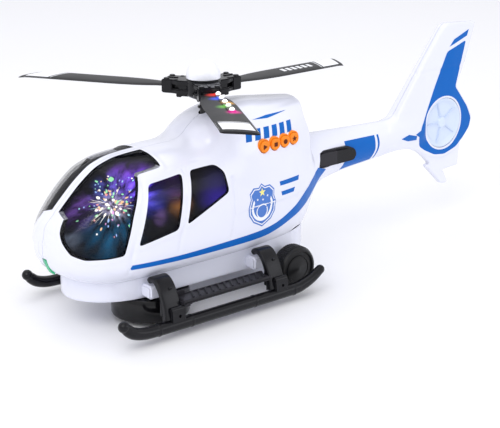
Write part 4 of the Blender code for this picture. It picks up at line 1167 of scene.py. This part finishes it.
cup = [
    (0.0, 16.6), (CUP_RADIUS - 1.2, 16.6), (CUP_RADIUS - 0.4, 16.3), (CUP_RADIUS, 15.6), (CUP_RADIUS, 3.8),
    (CUP_RADIUS - 0.3, 3.0), (CUP_RADIUS - 0.9, 2.8), (CUP_RADIUS - CUP_WALL, 3.0),
    (CUP_RADIUS - CUP_WALL, 14.6), (0.0, 14.6),
]
spigot = turned([(0.0, 24.0), (5.2, 24.0), (5.8, 23.4), (5.8, 15.6), (0.0, 15.6)], 48, PIVOT - CUP_CENTRE)
housing = combined(turned(cup, 128), [moved(spigot, Matrix.Rotation(-CUP_TURN, 4, "Z"))], "UNION")
housing = moved(as_bmesh(housing), CUP_PLACE)
placed("turret_cup", housing, GLOSS_BLACK, "turret", ["turret_housing"], 35)
plate = turned([(0.0, 4.0), (20.8, 4.0), (21.2, 4.4), (21.2, 5.6), (0.0, 5.6)], 96)
slots = [block((-reach, low, 0.0), (reach, high, 9.0))
         for low, high, reach in ((-18.4, -11.0, 7.8), (11.0, 18.4, 7.8), (-1.9, 1.9, 6.2))]
plate = moved(as_bmesh(combined(plate, slots)), CUP_PLACE)
placed("turret_floor", plate, BLACK, "turret", ["turret_base"], 35)
screw_places = ((-16.0, 0.0), (16.0, 0.0), (-11.5, 14.0), (11.5, -14.0))
plate_screws = [screw((x, y, 4.05), 1.5, "Z") for x, y in screw_places]
placed("turret_screws", moved(joined(plate_screws), CUP_PLACE), STEEL, "turret")
DRIVE_WHEEL = (
    (1.3, 11.6), (6.0, 11.6), (6.7, 12.3), (6.7, 16.9), (6.0, 17.6), (5.0, 17.6), (4.6, 17.0), (2.6, 17.0),
    (2.2, 17.6), (1.3, 17.6),
)
for side_name, side in SIDES:
    profile = [(radius, side * y) for radius, y in DRIVE_WHEEL]
    rib_span = (side * 12.4, side * 16.8)
    ribbed_wheel(f"ribbed_drive_wheel_{side_name}", (0.0, 0.0, DRIVE_WHEEL_RADIUS), profile, rib_span,
                 DRIVE_WHEEL_RIBS, DRIVE_WHEEL_RADIUS, "drive_wheels", f"drive_wheel_{side_name}", CUP_PLACE)

# ---------------------------------------------------------------- rotor
spins = [Matrix.Rotation(math.radians(angle), 4, "Z") for angle in BLADE_DEGREES]

mast = [
    (0.0, 99.2), (2.3, 99.2), (2.3, 112.8), (3.4, 113.0), (3.6, 113.3), (3.6, 114.1), (3.2, 114.4),
    (2.3, 114.5), (2.3, 118.2), (0.0, 118.2),
]
placed("mast", turned(mast, 40), GLOSS_BLACK, "rotor", ["rotor_mast"], 35)


def hub_arm():
    """One yoke along +X: two plates with a slot between, cheeks, a blade clamp and pins."""
    half_plan = [(3.0, -8.0), (13.0, -8.0), (16.5, -6.4), (23.7, -6.4)]
    plan = rounded(half_plan + [(x, -y) for x, y in half_plan[::-1]], 1.4, 3)
    parts = [slab(plan, 126.9, 129.9, "Z", 0.6), slab(plan, 121.6, 124.4, "Z", 0.6)]
    parts.append(block((2.0, -6.6, 120.2), (13.4, 6.6, 128.0), 0.7))
    parts.append(block((10.0, -3.6, 123.0), (20.0, 3.6, 128.6), 0.5))
    for side in (-1, 1):
        low, high = sorted((side * 4.9, side * 6.7))
        parts.append(block((17.4, low, 121.8), (24.0, high, 129.8), 0.5))
        big_pin = [(0.0, 129.0), (1.7, 129.0), (1.7, 130.3), (1.3, 130.6), (0.0, 130.6)]
        small_pin = [(0.0, 129.0), (1.2, 129.0), (1.2, 130.1), (0.0, 130.3)]
        parts.append(turned(big_pin, 20, (21.4, side * 4.6, 0.0)))
        parts.append(turned(small_pin, 16, (15.2, side * 5.2, 0.0)))
        parts.append(block((11.6, low * 0.9, 119.6), (14.8, high * 0.98, 123.0), 0.4))
    parts.append(block((15.6, -1.0, 129.2), (22.6, 1.0, 130.4), 0.4))
    return parts


HUB = (
    (0.0, 118.6), (5.6, 118.6), (6.6, 119.0), (9.6, 120.4), (10.6, 121.4), (10.6, 129.4), (9.8, 130.2),
    (0.0, 130.6),
)
hub_parts = [turned(HUB, 48)]
for spin in spins:
    hub_parts += [moved(part, spin) for part in hub_arm()]
placed("hub_yoke", joined(hub_parts), BLACK, "rotor", ["rotor_hub"], 35)
dome = [(0.0, 130.9), (10.0, 130.9), (10.2, 131.2)] + arc_profile((0.0, 131.6), 10.2, 0, 90, 24)
placed("frosted_hub_dome", turned(dome, 64), FROSTED, "rotor", ["hub_dome"], 35)

# Blade plan, from the root outwards: distance, leading edge y, trailing edge y.
BLADE_ROOT = 24.4
BLADE_PLAN = ((24.4, 5.4, -5.2), (28.0, 5.8, -5.6), (34.0, 7.7, -7.3), (41.0, 9.2, -8.6), (52.0, 10.0, -9.4),
              (80.0, 10.0, -9.4), (98.0, 10.0, -9.4))
TIP_LEAD, TIP_TRAIL = 116.4, 107.4
BAND, THIN_LINE = (0.80, 0.965), (0.778, 0.785)   # the printed tip, as shares of the blade's length
PRINT_RISE = 0.08
BLADE_HALF = 0.7                 # half of the blade's thickness


def blade_sections(first, last, raise_by=0.0):
    """Rings of a thin cambered blade between two shares of its length, its tip slanted and bent down."""
    rings = []
    inset, under_rise = (0.02, raise_by + 0.3) if raise_by else (0.0, 0.0)
    stations = sorted({first, last} | {share for share in np.linspace(0, 1, 33) if first < share < last})
    for share in stations:
        lead_x = BLADE_ROOT + (TIP_LEAD - BLADE_ROOT) * share
        trail_x = BLADE_ROOT + (TIP_TRAIL - BLADE_ROOT) * share
        top, under = [], []
        for t in np.linspace(0, 1, 13):
            x = lead_x + (trail_x - lead_x) * t
            lead = np.interp(x, [p[0] for p in BLADE_PLAN], [p[1] for p in BLADE_PLAN])
            trail = np.interp(x, [p[0] for p in BLADE_PLAN], [p[2] for p in BLADE_PLAN])
            y = lead + (trail - lead) * (inset + (1 - 2 * inset) * t)
            camber = 0.35 * (1 - (2 * t - 0.9) ** 2)
            middle = ROTOR_PLANE + camber - 0.5 * max(0.0, (share - 0.94) / 0.06) ** 2
            round_off = math.sqrt(max(0.02, 1 - abs(2 * t - 1) ** 5))
            top.append((x, y, middle + BLADE_HALF * round_off + raise_by))
            under.append((x, y, middle - BLADE_HALF * round_off + under_rise))
        rings.append(top + under[::-1])
    return rings


LED_COLOURS = ((1.0, 0.04, 0.03), (0.03, 0.10, 1.0), (0.9, 0.45, 0.05), (0.15, 0.55, 0.05), (1.0, 0.03, 0.40))
HALO_SHIFTS = ((-0.6, -2.8), (-0.4, -2.8), (1.0, 1.6), (0.0, -2.6), (3.4, 0.4))
lit_spin = spins[2]
led_places = [Vector((28.6 + 9.8 * i, 3.8 + 0.15 * i, ROTOR_PLANE + 1.4)) for i in range(5)]
# Painted glow of each LED on the blade: a coloured halo round the bulb, a little off its centre.
halos = [(lit_spin @ (place + Vector((*shift, -0.4))), 6.2, colour, 0.85)
         for place, shift, colour in zip(led_places, HALO_SHIFTS, LED_COLOURS)]
LIT_BLADE = lit_patches("blade_charcoal_lit", (0.013, 0.013, 0.015), halos)
for i, spin in enumerate(spins):
    look = LIT_BLADE if spin is lit_spin else BLADE_GREY
    placed(f"blade_{i + 1}", moved(loft(blade_sections(0.0, 1.0)), spin), look, "rotor",
           [f"rotor_blade_{i + 1}"], 50)
    bands = joined([loft(blade_sections(*span, raise_by=PRINT_RISE)) for span in (BAND, THIN_LINE)])
    placed(f"blade_band_{i + 1}", moved(bands, spin), PRINT_WHITE, "rotor", sharp=40)
bars = []
for i in range(6):
    bar = [(62.0 + 4.4 * i, -3.2), (64.6 + 4.4 * i, -3.2), (66.0 + 4.4 * i, 3.0), (63.4 + 4.4 * i, 3.0)]
    bars.append(slab(bar, ROTOR_PLANE + 0.8, ROTOR_PLANE + 1.12, "Z", 0.08, 1))
placed("blade_bars", moved(joined(bars), spins[0]), PRINT_WHITE, "rotor", sharp=40)

STRIP_PLAN = ((25.8, 1.4), (71.0, 2.0), (71.0, 6.4), (25.8, 5.4))
strip = slab(rounded(STRIP_PLAN, 1.0), ROTOR_PLANE + 1.1, ROTOR_PLANE + 1.5, "Z", 0.15)
placed("led_carrier", moved(strip, lit_spin), LIT_BLADE, "rotor", ["blade_led_strip"], 40)
bulb = [(0.0, 0.0), (1.6, 0.0)] + arc_profile((0.0, 0.1), 1.5, 0, 90, 8)
bulbs = [turned(bulb, 24, place) for place in led_places]
placed("led_bulbs", moved(joined(bulbs), lit_spin), glowing("led_white", (1.0, 0.98, 0.95), 1.2), "rotor")

# ---------------------------------------------------------------- push buttons
ICONS = (
    [(-1.3, -1.5), (1.5, 0.0), (-1.3, 1.5)],
    [(-1.2, -1.2), (1.2, -1.2), (1.2, 1.2), (-1.2, 1.2)],
    circle(1.4, 20),
    star((0.0, 0.0), 1.8),
)
for i, (x, face_y) in enumerate(zip(BUTTON_X, BUTTON_FACE_Y)):
    flange = face_y + 7.2
    profile = [
        (0.0, face_y + 0.25), (1.9, face_y + 0.25), (2.3, face_y), (2.9, face_y), (3.35, face_y + 0.35),
        (3.5, face_y + 1.0), (3.5, flange), (4.2, flange), (4.2, flange + 1.0), (1.4, flange + 1.0),
        (1.4, -20.2), (0.0, -20.2),
    ]
    button = turned(profile, 40, (x, 0.0, BUTTON_Z), "Y")
    placed(f"push_button_{i + 1}", button, ORANGE, f"button_{i + 1}_body", [f"button_{i + 1}"],
           35)
    icon = slab([(x + a, BUTTON_Z + b) for a, b in ICONS[i]], face_y + 0.05, face_y + 0.5)
    placed(f"button_mark_{i + 1}", icon, BROWN, f"button_{i + 1}_body")
surround = []
for x, face_y in zip(BUTTON_X, BUTTON_FACE_Y):
    rim = [(0.0, 1.5), (4.3, 1.5), (4.6, 1.8), (4.6, 4.5), (0.0, 4.5)]
    profile = [(radius, face_y + inwards) for radius, inwards in rim]
    surround.append(turned(profile, 40, (x, 0.0, BUTTON_Z), "Y"))
ring = combined(surround[0], surround[1:], "UNION")
ring = combined(ring, [turned([(3.75, -40.0), (3.75, -20.0)], 40, (x, 0.0, BUTTON_Z), "Y") for x in BUTTON_X])
placed("button_surround", ring, ORANGE, "airframe", sharp=35)

# ---------------------------------------------------------------- finishes of the pieces that stay as built
CAD_LOOKS = (
    (LAMP, ("lamp_dome",)),
    (BLACK, ("lamp_base", "speaker", "power_switch")),
    (BOARD, ("main_board", "button_board")),
    (STEEL, ("rotor_motor", "drive_motor", "rear_axle", "drive_axle", "battery_door_screw")),
    (BRASS, ("rotor_gear", "rotor_pinion", "drive_gear", "drive_pinion")),
    (CELL, ("battery_1", "battery_2", "battery_3")),
)
for look, nodes in CAD_LOOKS:
    for node in nodes:
        materials = frame["nodes"][node].data.materials
        materials.clear()
        materials.append(look)


# ---------------------------------------------------------------- camera, floor and light
def area_light(name, place, target, size, energy, colour=(1.0, 1.0, 1.0)):
    data = bpy.data.lights.new(name, "AREA")
    data.shape = "RECTANGLE"
    data.size, data.size_y = size
    data.energy = energy
    data.color = colour
    lamp = bpy.data.objects.new(name, data)
    bpy.context.scene.collection.objects.link(lamp)
    lamp.location = place
    lamp.rotation_euler = (Vector(target) - Vector(place)).to_track_quat("-Z", "Y").to_euler()


CAMERA_PLACE = (-0.5112, -0.5874, 0.2883)
CAMERA_DIP, CAMERA_HEADING = math.radians(18.0), math.radians(-39.23)
SENSOR_WIDTH, FOCAL_LENGTH = 36.0, 92.7
SURROUND, SURROUND_STRENGTH = (0.96, 0.965, 1.0, 1.0), 0.89
FLOOR_REACH, FLOOR_DROP = 6.0, 0.0002


def set_stage():
    """A pale floor that fades into a pale surround, with soft light from above and both sides."""
    data = bpy.data.cameras.new("camera")
    data.sensor_width = SENSOR_WIDTH
    data.lens = FOCAL_LENGTH
    camera = bpy.data.objects.new("camera", data)
    bpy.context.scene.collection.objects.link(camera)
    camera.location = CAMERA_PLACE
    camera.rotation_euler = (math.pi / 2 - CAMERA_DIP, 0.0, CAMERA_HEADING)
    bpy.context.scene.camera = camera

    world = bpy.data.worlds.new("surround")
    bpy.context.scene.world = world
    world.use_nodes = True
    background = world.node_tree.nodes["Background"]
    background.inputs["Color"].default_value = SURROUND
    background.inputs["Strength"].default_value = SURROUND_STRENGTH
    bpy.context.scene.view_settings.view_transform = "Standard"

    floor_mesh = bpy.data.meshes.new("floor")
    corners = [(FLOOR_REACH * x, FLOOR_REACH * y, 0) for x, y in ((-1, -1), (1, -1), (1, 1), (-1, 1))]
    floor_mesh.from_pydata(corners, [], [(0, 1, 2, 3)])
    floor = linked("floor", floor_mesh)
    floor.location.z = -FLOOR_DROP
    floor_mesh.materials.append(plastic("pale_floor", (0.92, 0.92, 0.94), 0.6, mottle=0.005))

    middle = (0.0, 0.0, 0.06)
    area_light("key", (-0.9, -0.5, 1.1), middle, (0.9, 0.9), 7.0, (1.0, 0.99, 0.97))
    area_light("fill", (0.8, -1.2, 0.6), middle, (0.9, 0.6), 2.4, (0.93, 0.95, 1.0))
    area_light("top", (0.2, 0.4, 1.4), middle, (1.4, 1.4), 3.6)


set_stage()
